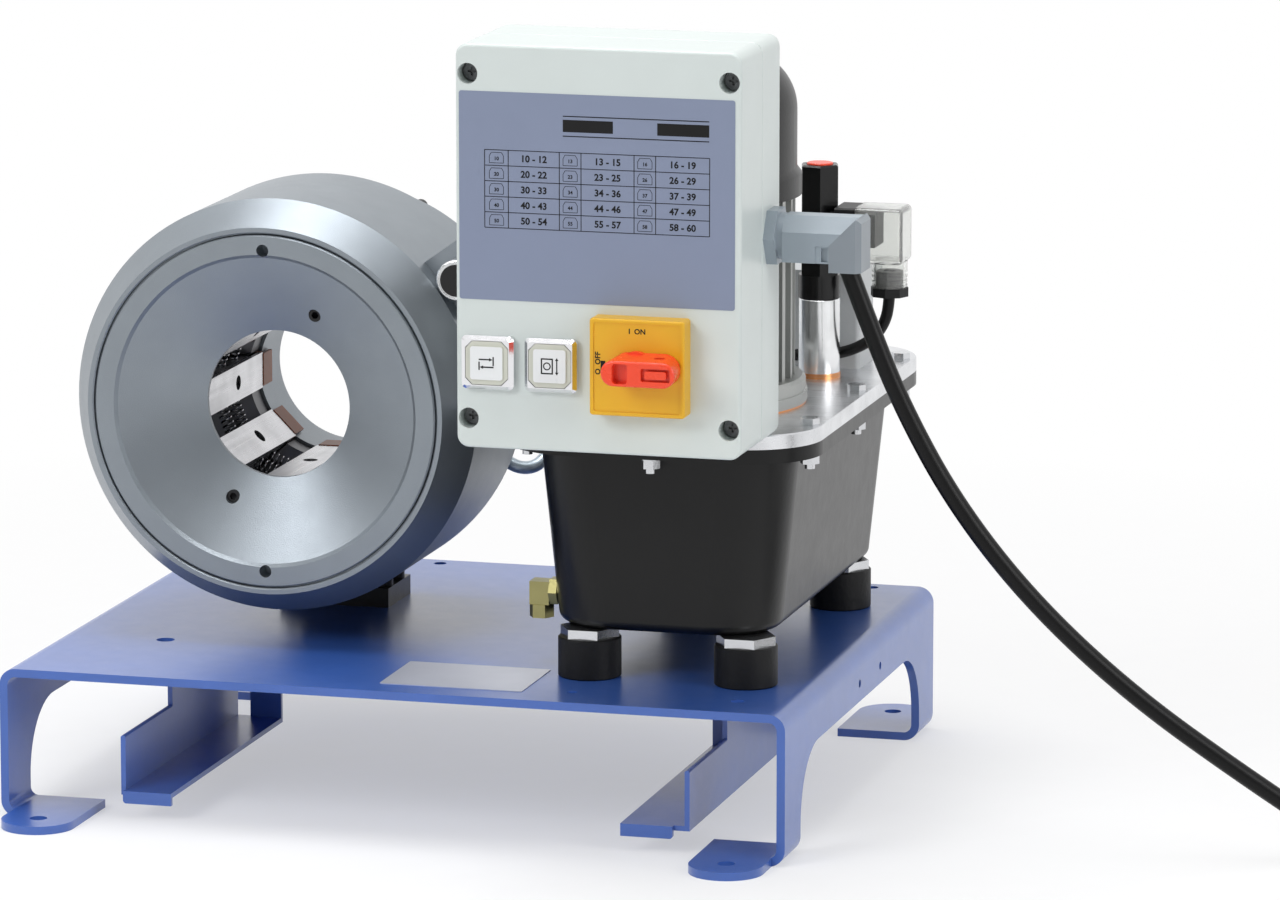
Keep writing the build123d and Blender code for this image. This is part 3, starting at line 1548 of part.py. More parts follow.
with BuildPart() as button_bezels:
    with BuildSketch(box_face(box_front, 0, 0)):
        with Locations(*button_places):
            RectangleRounded(button_bezel, button_bezel, bezel_corner)
    extrude(amount=bezel_height)
    chamfer(button_bezels.faces().group_by(Axis.Y)[0].edges(), bezel_flare)
    with BuildSketch(box_face(box_front - bezel_height, 0, 0)):
        with Locations(*button_places):
            cap_frame(cable_clearance)
    extrude(amount=1 - bezel_height, mode=Mode.SUBTRACT)
    with BuildSketch(box_face(box_front, 0, 0)):
        with Locations(*button_places):
            Circle(panel_hole_d / 2 - 0.1)
    extrude(amount=-bezel_barrel)
    with BuildSketch(box_face(box_front - bezel_height, 0, 0)):
        with Locations(*button_places):
            Circle(button_stem_radius + cable_clearance)
    extrude(amount=-bezel_height - bezel_barrel, mode=Mode.SUBTRACT)
    # nut behind the lid's wall
    with BuildSketch(box_face(box_front + box_wall, 0, 0)):
        with Locations(*button_places):
            Circle(button_bezel / 2 - 1)
            Circle(panel_hole_d / 2, mode=Mode.SUBTRACT)
    extrude(amount=-4)
button_bezels.part.label = "button_bezels"
export_step(button_bezels.part, "parts/button_bezels.step")

for name, x in zip(("button_left", "button_right"), button_x):
    cap_back = box_front - 1 - cable_clearance - button_travel
    with BuildPart() as button:
        # clear frame with cut corners, and the square cap raised in it
        with BuildSketch(box_face(cap_back, x, button_z)):
            cap_frame()
        extrude(amount=cap_back - box_front + bezel_height)
        with BuildSketch(box_face(cap_back, x, button_z)):
            RectangleRounded(button_cap, button_cap, cap_corner)
        extrude(amount=cap_back - box_front + bezel_height + button_proud)
        with BuildSketch(box_face(cap_back, x, button_z)):
            Circle(button_stem_radius)
        extrude(amount=-bezel_barrel)
    button.part.label = name
    export_step(button.part, f"parts/{name}.step")

# ---------------------------------------------------------------- main switch
switch_front = box_front - switch_depth
with BuildPart() as switch_plate:
    with BuildSketch(box_face(box_front, switch_x, switch_z)):
        RectangleRounded(switch_size, switch_size, 2)
    extrude(amount=switch_depth)
    fillet(switch_plate.faces().sort_by(Axis.Y)[0].edges(), 1.2)
    with BuildSketch(box_face(switch_front, switch_x, switch_z)):
        RectangleRounded(switch_size - 2 * switch_border, switch_size - 2 * switch_border, 1.5)
    extrude(amount=-switch_recess, mode=Mode.SUBTRACT)
    with BuildSketch(box_face(box_front, switch_x, switch_z)):
        Circle(panel_hole_d / 2 - 0.1)
    extrude(amount=-box_wall)
    with BuildSketch(box_face(box_front + box_wall, switch_x, switch_z)):
        RectangleRounded(switch_body, switch_body, 3)
    extrude(amount=-switch_body_depth)
    with BuildSketch(box_face(switch_front, switch_x, switch_z)):
        Circle(switch_shaft_radius + bearing_clearance)
    extrude(amount=-switch_depth - switch_body_depth, mode=Mode.SUBTRACT)
switch_plate.part.label = "switch_plate"
export_step(switch_plate.part, "parts/switch_plate.step")

handle_start = switch_front + switch_recess - cable_clearance
handle_front = switch_front - handle_depth
handle_end = switch_x - handle_short_end
with BuildPart() as switch_handle:
    with BuildSketch(box_face(handle_start, switch_x, switch_z)):
        Circle(handle_foot_width / 2 + 1)
    extrude(amount=handle_skirt)
    # tapered bar, longer and narrower at its front
    with BuildSketch(box_face(handle_start, handle_end + handle_length / 2, switch_z)):
        SlotOverall(handle_foot_length, handle_foot_width)
    with BuildSketch(box_face(handle_front, handle_end + handle_length / 2, switch_z)):
        SlotOverall(handle_length, handle_width)
    loft()
    fillet(switch_handle.faces().sort_by(Axis.Y)[0].edges(), 1.6)
    # finger grip
    with BuildSketch(box_face(handle_front, handle_end + grip_place, switch_z)):
        RectangleRounded(*grip_size, 2)
    extrude(amount=-grip_depth, mode=Mode.SUBTRACT)
    # window of the padlock slide, with the slide's jaw in it
    with BuildSketch(box_face(handle_front, handle_end + lock_place, switch_z)):
        RectangleRounded(*lock_window, 1)
        RectangleRounded(*lock_jaw, 1, mode=Mode.SUBTRACT)
    extrude(amount=-lock_depth, mode=Mode.SUBTRACT)
    with BuildSketch(Plane.XY.offset(switch_z)):
        with Locations((handle_end + lock_place, handle_front + handle_depth / 2)):
            SlotOverall(*shackle_hole)
    extrude(amount=handle_foot_width, both=True, mode=Mode.SUBTRACT)
    with BuildSketch(box_face(handle_start, switch_x, switch_z)):
        Circle(switch_shaft_radius)
    extrude(amount=4 - switch_depth - switch_body_depth)
switch_handle.part.label = "switch_handle"
export_step(switch_handle.part, "parts/switch_handle.step")

# contactor and terminal strip on their rail, screwed to the inside of the box's back
with BuildPart() as box_electrics:
    with BuildSketch(box_face(box_back - box_wall, box_x, electrics_z)):
        Rectangle(*mount_rail[:2])
    extrude(amount=mount_rail[2])
    for offset_x, device in ((contactor_x, contactor), (terminals_x, terminals)):
        with BuildSketch(box_face(box_back - box_wall - mount_rail[2], box_x + offset_x, electrics_z)):
            Rectangle(*device[:2])
        extrude(amount=device[2])
box_electrics.part.label = "box_electrics"
export_step(box_electrics.part, "parts/box_electrics.step")

# ---------------------------------------------------------------- cable outlet and mains cable


def cable_point(distance, height):
    """Point of the mains cable at a distance along its line and a height above the bench."""
    x = cable_start[0] + cable_line[0] * distance
    y = cable_start[1] + cable_line[1] * distance
    return Vector(x, y, height)


mains_route = [cable_point(*place) for place in cable_route]
outlet_top = outlet_z + outlet_height / 2
outlet_bottom = outlet_z - outlet_height / 2
diagonal_z = outlet_top - outlet_top_chamfer
with BuildPart() as cable_outlet:
    # threaded spigot through the box's wall, with the nut outside and the lock nut inside
    with BuildSketch(Plane.YZ.offset(box_right)):
        with Locations((outlet_y, outlet_z)):
            RegularPolygon(outlet_nut_flats / 2, 6, major_radius=False)
    extrude(amount=outlet_nut)
    with BuildSketch(Plane.YZ.offset(box_right + outlet_nut)):
        with Locations((outlet_y, outlet_z)):
            Circle(outlet_collar_radius)
    extrude(amount=outlet_nut_end - box_right - outlet_nut)
    with BuildSketch(Plane.YZ.offset(box_right)):
        with Locations((outlet_y, outlet_z)):
            Circle(outlet_hole_d / 2)
    extrude(amount=-box_wall - 6)
    with BuildSketch(Plane.YZ.offset(box_right - box_wall)):
        with Locations((outlet_y, outlet_z)):
            RegularPolygon(outlet_hole_d / 2 + 3, 6, major_radius=False)
    extrude(amount=-4)
    # straight housing, its upper edges cut off slanting
    with BuildSketch(Plane.YZ.offset(outlet_nut_end)):
        with BuildLine():
            Polyline(
                (outlet_y - outlet_half_depth, outlet_bottom),
                (outlet_y + outlet_half_depth, outlet_bottom),
                (outlet_y + outlet_half_depth, outlet_top - outlet_slope[1]),
                (outlet_y + outlet_half_depth - outlet_slope[0], outlet_top),
                (outlet_y - outlet_half_depth + outlet_slope[0], outlet_top),
                (outlet_y - outlet_half_depth, outlet_top - outlet_slope[1]),
                close=True,
            )
        make_face()
    extrude(amount=outlet_elbow_x + outlet_top_chamfer - outlet_nut_end)
    with BuildSketch(Plane.XZ.offset(-outlet_y)):
        with BuildLine():
            Polyline(
                (outlet_elbow_x, outlet_bottom - 1),
                (outlet_elbow_x, diagonal_z),
                (outlet_elbow_x + outlet_top_chamfer + 1, outlet_top + 1),
                (outlet_end, outlet_top + 1),
                (outlet_end, outlet_bottom - 1),
                close=True,
            )
        make_face()
    extrude(amount=2 * outlet_half_depth, both=True, mode=Mode.SUBTRACT)
    # latch that holds the elbow, in a shallow field beside the joint
    with BuildSketch(Plane.XZ.offset(outlet_half_depth - outlet_y)):
        with Locations((outlet_elbow_x - latch_size[0] / 2, outlet_bottom + latch_size[1] / 2)):
            Rectangle(*latch_size)
    extrude(amount=-0.6, mode=Mode.SUBTRACT)
    with BuildSketch(Plane.XZ.offset(outlet_half_depth - outlet_y)):
        with Locations((outlet_elbow_x - 1 - latch_window[0] / 2, outlet_bottom + latch_size[1] / 2)):
            Rectangle(*latch_window)
    extrude(amount=-2.5, mode=Mode.SUBTRACT)

# elbow end of the outlet, which turns the cable down
with BuildPart() as outlet_elbow:
    with BuildSketch(Plane.XZ.offset(-outlet_y)):
        with BuildLine():
            Polyline(
                (outlet_elbow_x, outlet_bottom - elbow_drop),
                (outlet_end, outlet_bottom - elbow_drop),
                (outlet_end, outlet_top - elbow_break),
                (outlet_end - elbow_break, outlet_top),
                (outlet_elbow_x + outlet_top_chamfer, outlet_top),
                (outlet_elbow_x, diagonal_z),
                close=True,
            )
        make_face()
    extrude(amount=outlet_half_depth, both=True)
    chamfer(outlet_elbow.edges().filter_by(Axis.Z).group_by(Axis.X)[-1], elbow_break)
    with BuildSketch(Plane(origin=mains_route[0], z_dir=mains_route[1] - mains_route[0])):
        Circle(cable_d / 2 + cable_clearance)
    extrude(amount=20, mode=Mode.SUBTRACT)
cable_outlet.part.label = "cable_outlet"
outlet_elbow.part.label = "outlet_elbow"
export_step(cable_outlet.part, "parts/cable_outlet.step")
export_step(outlet_elbow.part, "parts/outlet_elbow.step")

with BuildPart() as mains_cable:
    with BuildLine() as mains_path:
        FilletPolyline(*mains_route, radius=corner_radii(mains_route))
    with BuildSketch(mains_path.line ^ 0):
        Circle(cable_d / 2)
    sweep()
mains_length = sum(edge.length for edge in mains_path.edges())
fill_ratio = mains_cable.part.volume / (pi * cable_d**2 / 4) / mains_length
print("mains cable", round(mains_length), "mm, volume over section times length", round(fill_ratio, 4))
mains_cable.part.label = "mains_cable"
export_step(mains_cable.part, "parts/mains_cable.step")

# put-away coil: a rounded ring, with the straight leads that join it to the cable and the plug
outer_turn = coil_radius + coil_pitch * (coil_rows - 1) / 2
coil_section = (coil_rows * coil_pitch - 0.2, coil_layers * coil_pitch - 0.2)
lead_in = mains_route[-1]
along = Vector(*cable_line, 0).normalized()
coil_centre = lead_in + along * coil_lead + Vector(-along.Y, along.X, 0) * outer_turn
upper_layer_z = lead_in.Z + coil_pitch * (coil_layers - 1)
plug_turn = radians(plug_angle)
plug_heading = Vector(-sin(plug_turn), cos(plug_turn), 0)
lead_out = Vector(coil_centre.X, coil_centre.Y, upper_layer_z) + outer_turn * Vector(
    cos(plug_turn), sin(plug_turn), 0
)
with BuildPart() as cable_coil:
    with BuildSketch(Plane(origin=(coil_centre.X, coil_centre.Y, 0), x_dir=(1, 0, 0), z_dir=(0, -1, 0))):
        with Locations((coil_radius, (lead_in.Z + upper_layer_z) / 2)):
            RectangleRounded(*coil_section, cable_d / 2 - 0.2)
    revolve(axis=Axis((coil_centre.X, coil_centre.Y, 0), (0, 0, 1)))
    with BuildSketch(Plane(origin=lead_in, z_dir=along)):
        Circle(cable_d / 2)
    extrude(amount=coil_lead)
    with BuildSketch(Plane(origin=lead_out, z_dir=plug_heading)):
        Circle(cable_d / 2)
    extrude(amount=coil_lead)
cable_coil.part.label = "cable_coil"
export_step(cable_coil.part, "parts/cable_coil.step")

# two-pin earthed plug, turned profile with flat grips
plug_rear = lead_out + plug_heading * coil_lead
plug_plane = Plane(origin=plug_rear, x_dir=(0, 0, 1), z_dir=plug_heading)
with BuildPart() as cable_plug:
    with BuildSketch(plug_plane):
        Circle(cable_d / 2 + 2)
    with BuildSketch(plug_plane.offset(plug_length / 3)):
        Circle(plug_d / 2 - plug_grip)
    loft()
    with BuildSketch(plug_plane.offset(plug_length / 3)):
        Circle(plug_d / 2 - plug_grip)
    extrude(amount=plug_length / 3)
    with BuildSketch(plug_plane.offset(plug_length * 2 / 3)):
        Circle(plug_d / 2)
    extrude(amount=plug_length / 3)
    with BuildSketch(plug_plane.offset(plug_length)):
        with Locations((0, pin_pitch / 2), (0, -pin_pitch / 2)):
            Circle(pin_d / 2)
    extrude(amount=pin_length)
cable_plug.part.label = "cable_plug"
export_step(cable_plug.part, "parts/cable_plug.step")
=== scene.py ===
import math

import bmesh
import bpy
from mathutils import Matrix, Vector


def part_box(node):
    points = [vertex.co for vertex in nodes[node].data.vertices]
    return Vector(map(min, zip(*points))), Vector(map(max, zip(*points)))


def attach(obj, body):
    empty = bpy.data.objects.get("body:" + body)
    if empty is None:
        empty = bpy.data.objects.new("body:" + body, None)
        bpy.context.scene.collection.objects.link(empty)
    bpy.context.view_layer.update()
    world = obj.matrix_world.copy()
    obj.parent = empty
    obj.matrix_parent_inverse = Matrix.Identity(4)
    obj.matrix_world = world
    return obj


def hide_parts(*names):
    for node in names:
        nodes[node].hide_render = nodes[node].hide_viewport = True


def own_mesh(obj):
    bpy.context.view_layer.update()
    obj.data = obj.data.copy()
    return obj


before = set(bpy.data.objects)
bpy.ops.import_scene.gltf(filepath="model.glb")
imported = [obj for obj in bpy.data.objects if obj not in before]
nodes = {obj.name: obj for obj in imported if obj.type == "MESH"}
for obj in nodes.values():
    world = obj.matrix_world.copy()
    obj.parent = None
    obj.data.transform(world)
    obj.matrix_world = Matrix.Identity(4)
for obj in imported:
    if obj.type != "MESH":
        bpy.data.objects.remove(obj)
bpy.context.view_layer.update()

MM = 0.001  # lengths are in metres

# ---------------------------------------------------------------- camera
scene = bpy.context.scene
camera_data = bpy.data.cameras.new("camera")
camera_data.sensor_width = 36
camera_data.lens = 207.86
camera_data.clip_end = 40
camera = bpy.data.objects.new("camera", camera_data)
scene.collection.objects.link(camera)
camera_place = Vector((1.25994, -4.20729, 1.03087))
camera_target = Vector((0.101816, 0, 0.204309))
camera.location = camera_place
camera.rotation_euler = (camera_target - camera_place).to_track_quat("-Z", "Y").to_euler()
scene.camera = camera
scene.view_settings.view_transform = "Standard"


# ---------------------------------------------------------------- light and floor
def area_light(name, place, target, size, power, colour=(1, 1, 1)):
    """Soft rectangular lamp at place, turned to target."""
    data = bpy.data.lights.new(name, "AREA")
    data.shape = "RECTANGLE"
    data.size, data.size_y = size
    data.energy = power
    data.color = colour
    lamp = bpy.data.objects.new(name, data)
    lamp.location = place
    lamp.rotation_euler = (Vector(target) - Vector(place)).to_track_quat("-Z", "Y").to_euler()
    scene.collection.objects.link(lamp)


area_light("key", (-1.5, -2.4, 1.9), (0, 0, 0.25), (1.4, 1.2), 40)
area_light("right", (2.3, -0.9, 1.0), (0.1, 0, 0.25), (1.0, 1.4), 18)
area_light("top", (-0.1, -0.1, 2.3), (0.0, 0, 0.2), (1.6, 1.0), 34)

# white to the camera; mirror rays see it softer in front of the object than behind and above it
WHITE = 1.0
MIRRORED_IN_FRONT = 0.38
AMBIENT = 0.36
world = bpy.data.worlds.new("studio")
scene.world = world
world.use_nodes = True
world_tree = world.node_tree
background = world_tree.nodes["Background"]
background.inputs["Color"].default_value = (1, 1, 1, 1)


def node(tree, kind, **settings):
    """New shader node with those attributes."""
    made = tree.nodes.new(kind)
    for key, value in settings.items():
        setattr(made, key, value)
    return made


def blend_values(tree, factor, low, high):
    """Value that runs from low to high with factor; either may be a number or a socket."""
    mix = node(tree, "ShaderNodeMix", data_type="FLOAT")
    tree.links.new(factor, mix.inputs["Factor"])
    for socket, value in zip((mix.inputs[2], mix.inputs[3]), (low, high)):
        if isinstance(value, (int, float)):
            socket.default_value = value
        else:
            tree.links.new(value, socket)
    return mix.outputs[0]


def for_rays(tree, *kinds):
    """1 for a ray of one of those kinds, else 0."""
    paths = node(tree, "ShaderNodeLightPath")
    found = paths.outputs[kinds[0]]
    for kind in kinds[1:]:
        either = node(tree, "ShaderNodeMath", operation="MAXIMUM")
        tree.links.new(found, either.inputs[0])
        tree.links.new(paths.outputs[kind], either.inputs[1])
        found = either.outputs[0]
    return found


direction = node(world_tree, "ShaderNodeTexCoord")
axes = node(world_tree, "ShaderNodeSeparateXYZ")
world_tree.links.new(direction.outputs["Generated"], axes.inputs[0])
back_and_up = node(world_tree, "ShaderNodeMath", operation="ADD")
world_tree.links.new(axes.outputs["Y"], back_and_up.inputs[0])
world_tree.links.new(axes.outputs["Z"], back_and_up.inputs[1])
reflected = node(world_tree, "ShaderNodeMapRange")
reflected.inputs["From Min"].default_value = -0.3
reflected.inputs["From Max"].default_value = 0.5
reflected.inputs["To Min"].default_value = MIRRORED_IN_FRONT
reflected.inputs["To Max"].default_value = WHITE
world_tree.links.new(back_and_up.outputs[0], reflected.inputs["Value"])
mirror_rays = for_rays(world_tree, "Is Glossy Ray", "Is Transmission Ray")
around = blend_values(world_tree, mirror_rays, AMBIENT, reflected.outputs[0])
strength = blend_values(world_tree, for_rays(world_tree, "Is Camera Ray"), around, WHITE)
world_tree.links.new(strength, background.inputs["Strength"])


# ---------------------------------------------------------------- materials
TEXTURE_SPAN = (0.3, 0.7)  # where most of a noise texture's values lie


def surface(material):
    """Inputs of the material's Principled BSDF."""
    return material.node_tree.nodes["Principled BSDF"].inputs


def shader(name, colour, roughness, metallic=0.0, **sockets):
    """Principled material; sockets are further inputs by name, with _ for a space."""
    material = bpy.data.materials.new(name)
    material.use_nodes = True
    inputs = surface(material)
    inputs["Base Color"].default_value = (*colour, 1)
    inputs["Roughness"].default_value = roughness
    inputs["Metallic"].default_value = metallic
    for key, value in sockets.items():
        inputs[key.replace("_", " ")].default_value = value
    return material


def coordinates(material, stretch=(1, 1, 1)):
    """Object coordinates in metres, stretched along the axes."""
    tree = material.node_tree
    source = node(tree, "ShaderNodeTexCoord")
    mapping = node(tree, "ShaderNodeMapping")
    mapping.inputs["Scale"].default_value = stretch
    tree.links.new(source.outputs["Object"], mapping.inputs["Vector"])
    return mapping.outputs["Vector"]


def noise(material, scale, detail=2.0, stretch=(1, 1, 1)):
    """Noise texture of that scale per metre."""
    texture = node(material.node_tree, "ShaderNodeTexNoise")
    texture.inputs["Scale"].default_value = scale
    texture.inputs["Detail"].default_value = detail
    material.node_tree.links.new(coordinates(material, stretch), texture.inputs["Vector"])
    return texture.outputs["Fac"]


def vary_colour(material, factor, dark, light):
    """Base colour runs from dark to light with a texture's factor."""
    ramp = node(material.node_tree, "ShaderNodeValToRGB")
    ends = zip(ramp.color_ramp.elements, TEXTURE_SPAN, (dark, light))
    for element, position, colour in ends:
        element.position = position
        element.color = (*colour, 1)
    links = material.node_tree.links
    links.new(factor, ramp.inputs["Fac"])
    links.new(ramp.outputs["Color"], surface(material)["Base Color"])


def vary_roughness(material, factor, low, high):
    """Roughness runs from low to high with a texture's factor."""
    spread = node(material.node_tree, "ShaderNodeMapRange")
    spread.inputs["From Min"].default_value = TEXTURE_SPAN[0]
    spread.inputs["From Max"].default_value = TEXTURE_SPAN[1]
    spread.inputs["To Min"].default_value = low
    spread.inputs["To Max"].default_value = high
    links = material.node_tree.links
    links.new(factor, spread.inputs["Value"])
    links.new(spread.outputs[0], surface(material)["Roughness"])


def add_bump(material, factor, depth):
    """Surface relief of about depth metres from a texture's factor."""
    bump = node(material.node_tree, "ShaderNodeBump")
    bump.inputs["Distance"].default_value = depth
    links = material.node_tree.links
    links.new(factor, bump.inputs["Height"])
    links.new(bump.outputs["Normal"], surface(material)["Normal"])


def shade(colour, share):
    """Colour made darker or lighter, up to white."""
    return tuple(min(1, c * share) for c in colour)


def coated(name, colour, roughness, grain, depth, metallic=0.0, mottle=0.08, **sockets):
    """Paint, coat or moulded surface: fine relief, and a slight unevenness of colour and gloss."""
    material = shader(name, colour, roughness, metallic, **sockets)
    vary_colour(material, noise(material, 35), shade(colour, 1 - mottle), shade(colour, 1 + mottle))
    vary_roughness(material, noise(material, 90), roughness - 0.01, roughness + 0.02)
    add_bump(material, noise(material, grain, 3), depth)
    return material


def machined(name, colour, roughness, along, lines=900, depth=0.00002):
    """Metal with tool marks along one axis: 0 for X, 1 for Y, 2 for Z."""
    material = shader(name, colour, roughness, 1.0)
    stretch = [1.0, 1.0, 1.0]
    stretch[along] = 0.02
    marks = noise(material, lines, 2, stretch)
    vary_colour(material, noise(material, 50), shade(colour, 0.88), shade(colour, 1.08))
    vary_roughness(material, marks, roughness - 0.04, roughness + 0.06)
    add_bump(material, marks, depth)
    return material


def matt_black(name, level, roughness, grain, depth, specular=0.25, **sockets):
    """Black surface that stays black under the studio's light."""
    tone = (level, level, level * 1.08)
    sockets["Specular_IOR_Level"] = specular
    return coated(name, tone, roughness, grain, depth, mottle=0.12, **sockets)


blue_coat = {"Coat_Weight": 0.6, "Coat_Roughness": 0.22}
see_through = {"Transmission_Weight": 0.9, "IOR": 1.45}
# coated: colour, roughness, grain per metre, relief in metres, metallic, mottle
finish = {
    "base": coated(
        "powder_blue", (0.038, 0.112, 0.42), 0.34, 1500, 0.00012, 0.0, 0.04, **blue_coat
    ),
    "head": coated("structured_grey", (0.27, 0.30, 0.33), 0.36, 1700, 0.00012, 0.72, 0.03),
    "foot": coated("black_oxide", (0.008, 0.008, 0.009), 0.35, 500, 0.0001, 0.3),
    "piston": coated("ground_steel", (0.16, 0.16, 0.17), 0.38, 900, 0.00001, 0.8, 0.03),
    # front cone: grey paint like the head's, painted far darker as shade in the funnel's hollow
    "cone": coated("cone_grey_painted_shade", (0.05, 0.05, 0.055), 0.40, 900, 0.00001, 0.6, 0.03),
    "plates": coated("slide_plate", (0.36, 0.085, 0.014), 0.42, 700, 0.00006),
    "dies": machined("die_steel", (0.60, 0.60, 0.62), 0.28, 1, lines=400, depth=0.000008),
    "springs": coated("spring_wire", (0.60, 0.60, 0.62), 0.25, 900, 0.00001, 1.0, 0.04),
    "rubber": matt_black("rubber", 0.006, 0.5, 260, 0.0003),
    "zinc": coated("bright_zinc", (0.66, 0.67, 0.69), 0.24, 600, 0.00004, 1.0, 0.05),
    "screws": coated("black_screw", (0.02, 0.02, 0.021), 0.4, 600, 0.00004, 0.6),
    "lid_screw": coated("lid_screw_grey", (0.11, 0.115, 0.12), 0.35, 600, 0.00004, 0.2, 0.04),
    "tank": matt_black("tank_black", 0.0035, 0.30, 320, 0.00006, 0.3),
    "plate": machined("milled_plate", (0.74, 0.75, 0.77), 0.30, 0),
    "knob": machined("turned_knob", (0.74, 0.75, 0.76), 0.25, 1),
    "motor": coated("cast_grey", (0.40, 0.41, 0.40), 0.42, 700, 0.0001, 0.8, 0.05),
    "hood": matt_black("hood_black", 0.006, 0.34, 500, 0.00006, 0.4),
    "iron": machined("stacked_sheet", (0.30, 0.30, 0.31), 0.4, 0),
    "valve": machined("turned_aluminium", (0.80, 0.81, 0.82), 0.20, 2),
    "copper": coated("copper", (0.72, 0.33, 0.15), 0.3, 400, 0.00004, 1.0),
    "brass": coated("brass", (0.35, 0.32, 0.14), 0.35, 400, 0.00006, 1.0),
    "solenoid": matt_black("solenoid_black", 0.004, 0.22, 500, 0.00004, 0.35),
    "red": coated("red_plastic", (0.84, 0.060, 0.018), 0.26, 500, 0.00003, 0.0, 0.03),
    "yellow": coated("yellow_plastic", (0.72, 0.40, 0.010), 0.36, 700, 0.00003, 0.0, 0.03),
    "clear": shader("clear_plastic", (0.93, 0.94, 0.92), 0.08, **see_through),
    "insert": matt_black("insert_black", 0.010, 0.4, 400, 0.00006),
    "cable": matt_black("cable_sheath", 0.0025, 0.36, 700, 0.00004, 0.22),
    "terminal": coated("light_grey_paint", (0.52, 0.54, 0.55), 0.4, 600, 0.00008, 0.0, 0.03),
    "pipe": coated("pale_pipe", (0.60, 0.70, 0.78), 0.3, 500, 0.00004, 0.3, 0.03),
    "box": coated("box_grey", (0.60, 0.655, 0.640), 0.32, 600, 0.00004, 0.0, 0.01),
    "chrome": coated("chrome", (0.80, 0.80, 0.82), 0.10, 200, 0.00001, 1.0, 0.03),
    "cap": coated("cap_frame", (0.56, 0.57, 0.50), 0.16, 400, 0.00002, 0.0, 0.03),
    "outlet": coated("outlet_grey", (0.29, 0.34, 0.385), 0.34, 700, 0.00004, 0.0, 0.03),
    "elbow": coated("elbow_grey", (0.22, 0.25, 0.28), 0.36, 700, 0.00004, 0.0, 0.03),
    "electrics": coated("electrics_grey", (0.20, 0.20, 0.21), 0.45, 400, 0.00006),
    "plug": matt_black("plug_black", 0.010, 0.45, 300, 0.00012),
    "panel": coated("panel_foil", (0.205, 0.242, 0.345), 0.42, 1500, 0.00001, 0.0, 0.012),
    "print": matt_black("black_print", 0.006, 0.5, 900, 0.00001),
    "cap_white": coated("cap_white", (0.74, 0.76, 0.77), 0.28, 700, 0.00001, 0.0, 0.02),
    "bare_plate": coated("rating_plate", (0.58, 0.60, 0.68), 0.32, 1200, 0.00001, 0.45, 0.02),
    "dial_black": matt_black("dial_black", 0.004, 0.25, 600, 0.00001, 0.4),
}

uses = {
    "base": ["base_frame", "die_rail_left", "die_rail_right"],
    "head": ["head_housing", "front_cover", "rear_cover", "dial_block"],
    "cone": ["front_cone"],
    "foot": ["head_foot"],
    "piston": ["piston"],
    "plates": ["front_slide_plates", "rear_slide_plates"],
    "dies": [f"die_{number}" for number in range(1, 9)],
    "rubber": ["piston_seals", "rubber_buffers"],
    "zinc": ["cover_bolts", "buffer_fasteners"],
    "screws": ["cap_screws", "front_lock_screws"],
    "lid_screw": ["lid_screws"],
    "tank": ["tank"],
    "plate": ["cover_plate"],
    "knob": ["dial_knob"],
    "motor": ["motor_housing", "pump_unit"],
    "hood": ["motor_hood"],
    "iron": ["stator", "motor_rotor"],
    "valve": ["valve_body"],
    "copper": ["sealing_rings"],
    "brass": ["drain_fitting"],
    "solenoid": ["solenoid"],
    "red": ["override_button", "switch_handle"],
    "yellow": ["switch_plate"],
    "clear": ["connector_housing"],
    "insert": ["connector_insert"],
    "cable": ["valve_cable", "mains_cable", "cable_coil"],
    "terminal": ["terminal_box", "box_bracket"],
    "pipe": ["pressure_pipe"],
    "box": ["box_base", "box_lid"],
    "chrome": ["button_bezels"],
    "cap": ["button_left", "button_right"],
    "outlet": ["cable_outlet"],
    "elbow": ["outlet_elbow"],
    "electrics": ["box_electrics"],
    "plug": ["cable_plug"],
}
for key, names in uses.items():
    for name in names:
        nodes[name].data.materials.clear()
        nodes[name].data.materials.append(finish[key])

# ---------------------------------------------------------------- floor
floor_mesh = bpy.data.meshes.new("floor")
floor_reach = 6
floor_sides = ((-1, -1), (1, -1), (1, 1), (-1, 1))
floor_corners = [(x * floor_reach, y * floor_reach, 0) for x, y in floor_sides]
floor_mesh.from_pydata(floor_corners, [], [(0, 1, 2, 3)])
floor = bpy.data.objects.new("floor", floor_mesh)
scene.collection.objects.link(floor)
floor_white = coated("floor_white", (0.88, 0.88, 0.89), 0.7, 40, 0.00005, 0.0, 0.01)
floor_tree = floor_white.node_tree
# lit floor near the object, which keeps its shadow; plain white glow further out
floor_place = node(floor_tree, "ShaderNodeTexCoord")
distance = node(floor_tree, "ShaderNodeVectorMath", operation="LENGTH")
floor_tree.links.new(floor_place.outputs["Object"], distance.inputs[0])
fade = node(floor_tree, "ShaderNodeMapRange")
fade.inputs["From Min"].default_value = 0.15
fade.inputs["From Max"].default_value = 1.1
fade.inputs["To Min"].default_value = 0.45
floor_tree.links.new(distance.outputs["Value"], fade.inputs["Value"])
background_rays = for_rays(floor_tree, "Is Camera Ray", "Is Glossy Ray")
glow_share = blend_values(floor_tree, background_rays, 0.0, fade.outputs[0])
glow = node(floor_tree, "ShaderNodeEmission")
mixed = node(floor_tree, "ShaderNodeMixShader")
floor_tree.links.new(glow_share, mixed.inputs["Fac"])
floor_tree.links.new(floor_tree.nodes["Principled BSDF"].outputs[0], mixed.inputs[1])
floor_tree.links.new(glow.outputs[0], mixed.inputs[2])
floor_tree.links.new(mixed.outputs[0], floor_tree.nodes["Material Output"].inputs["Surface"])
floor_mesh.materials.append(floor_white)


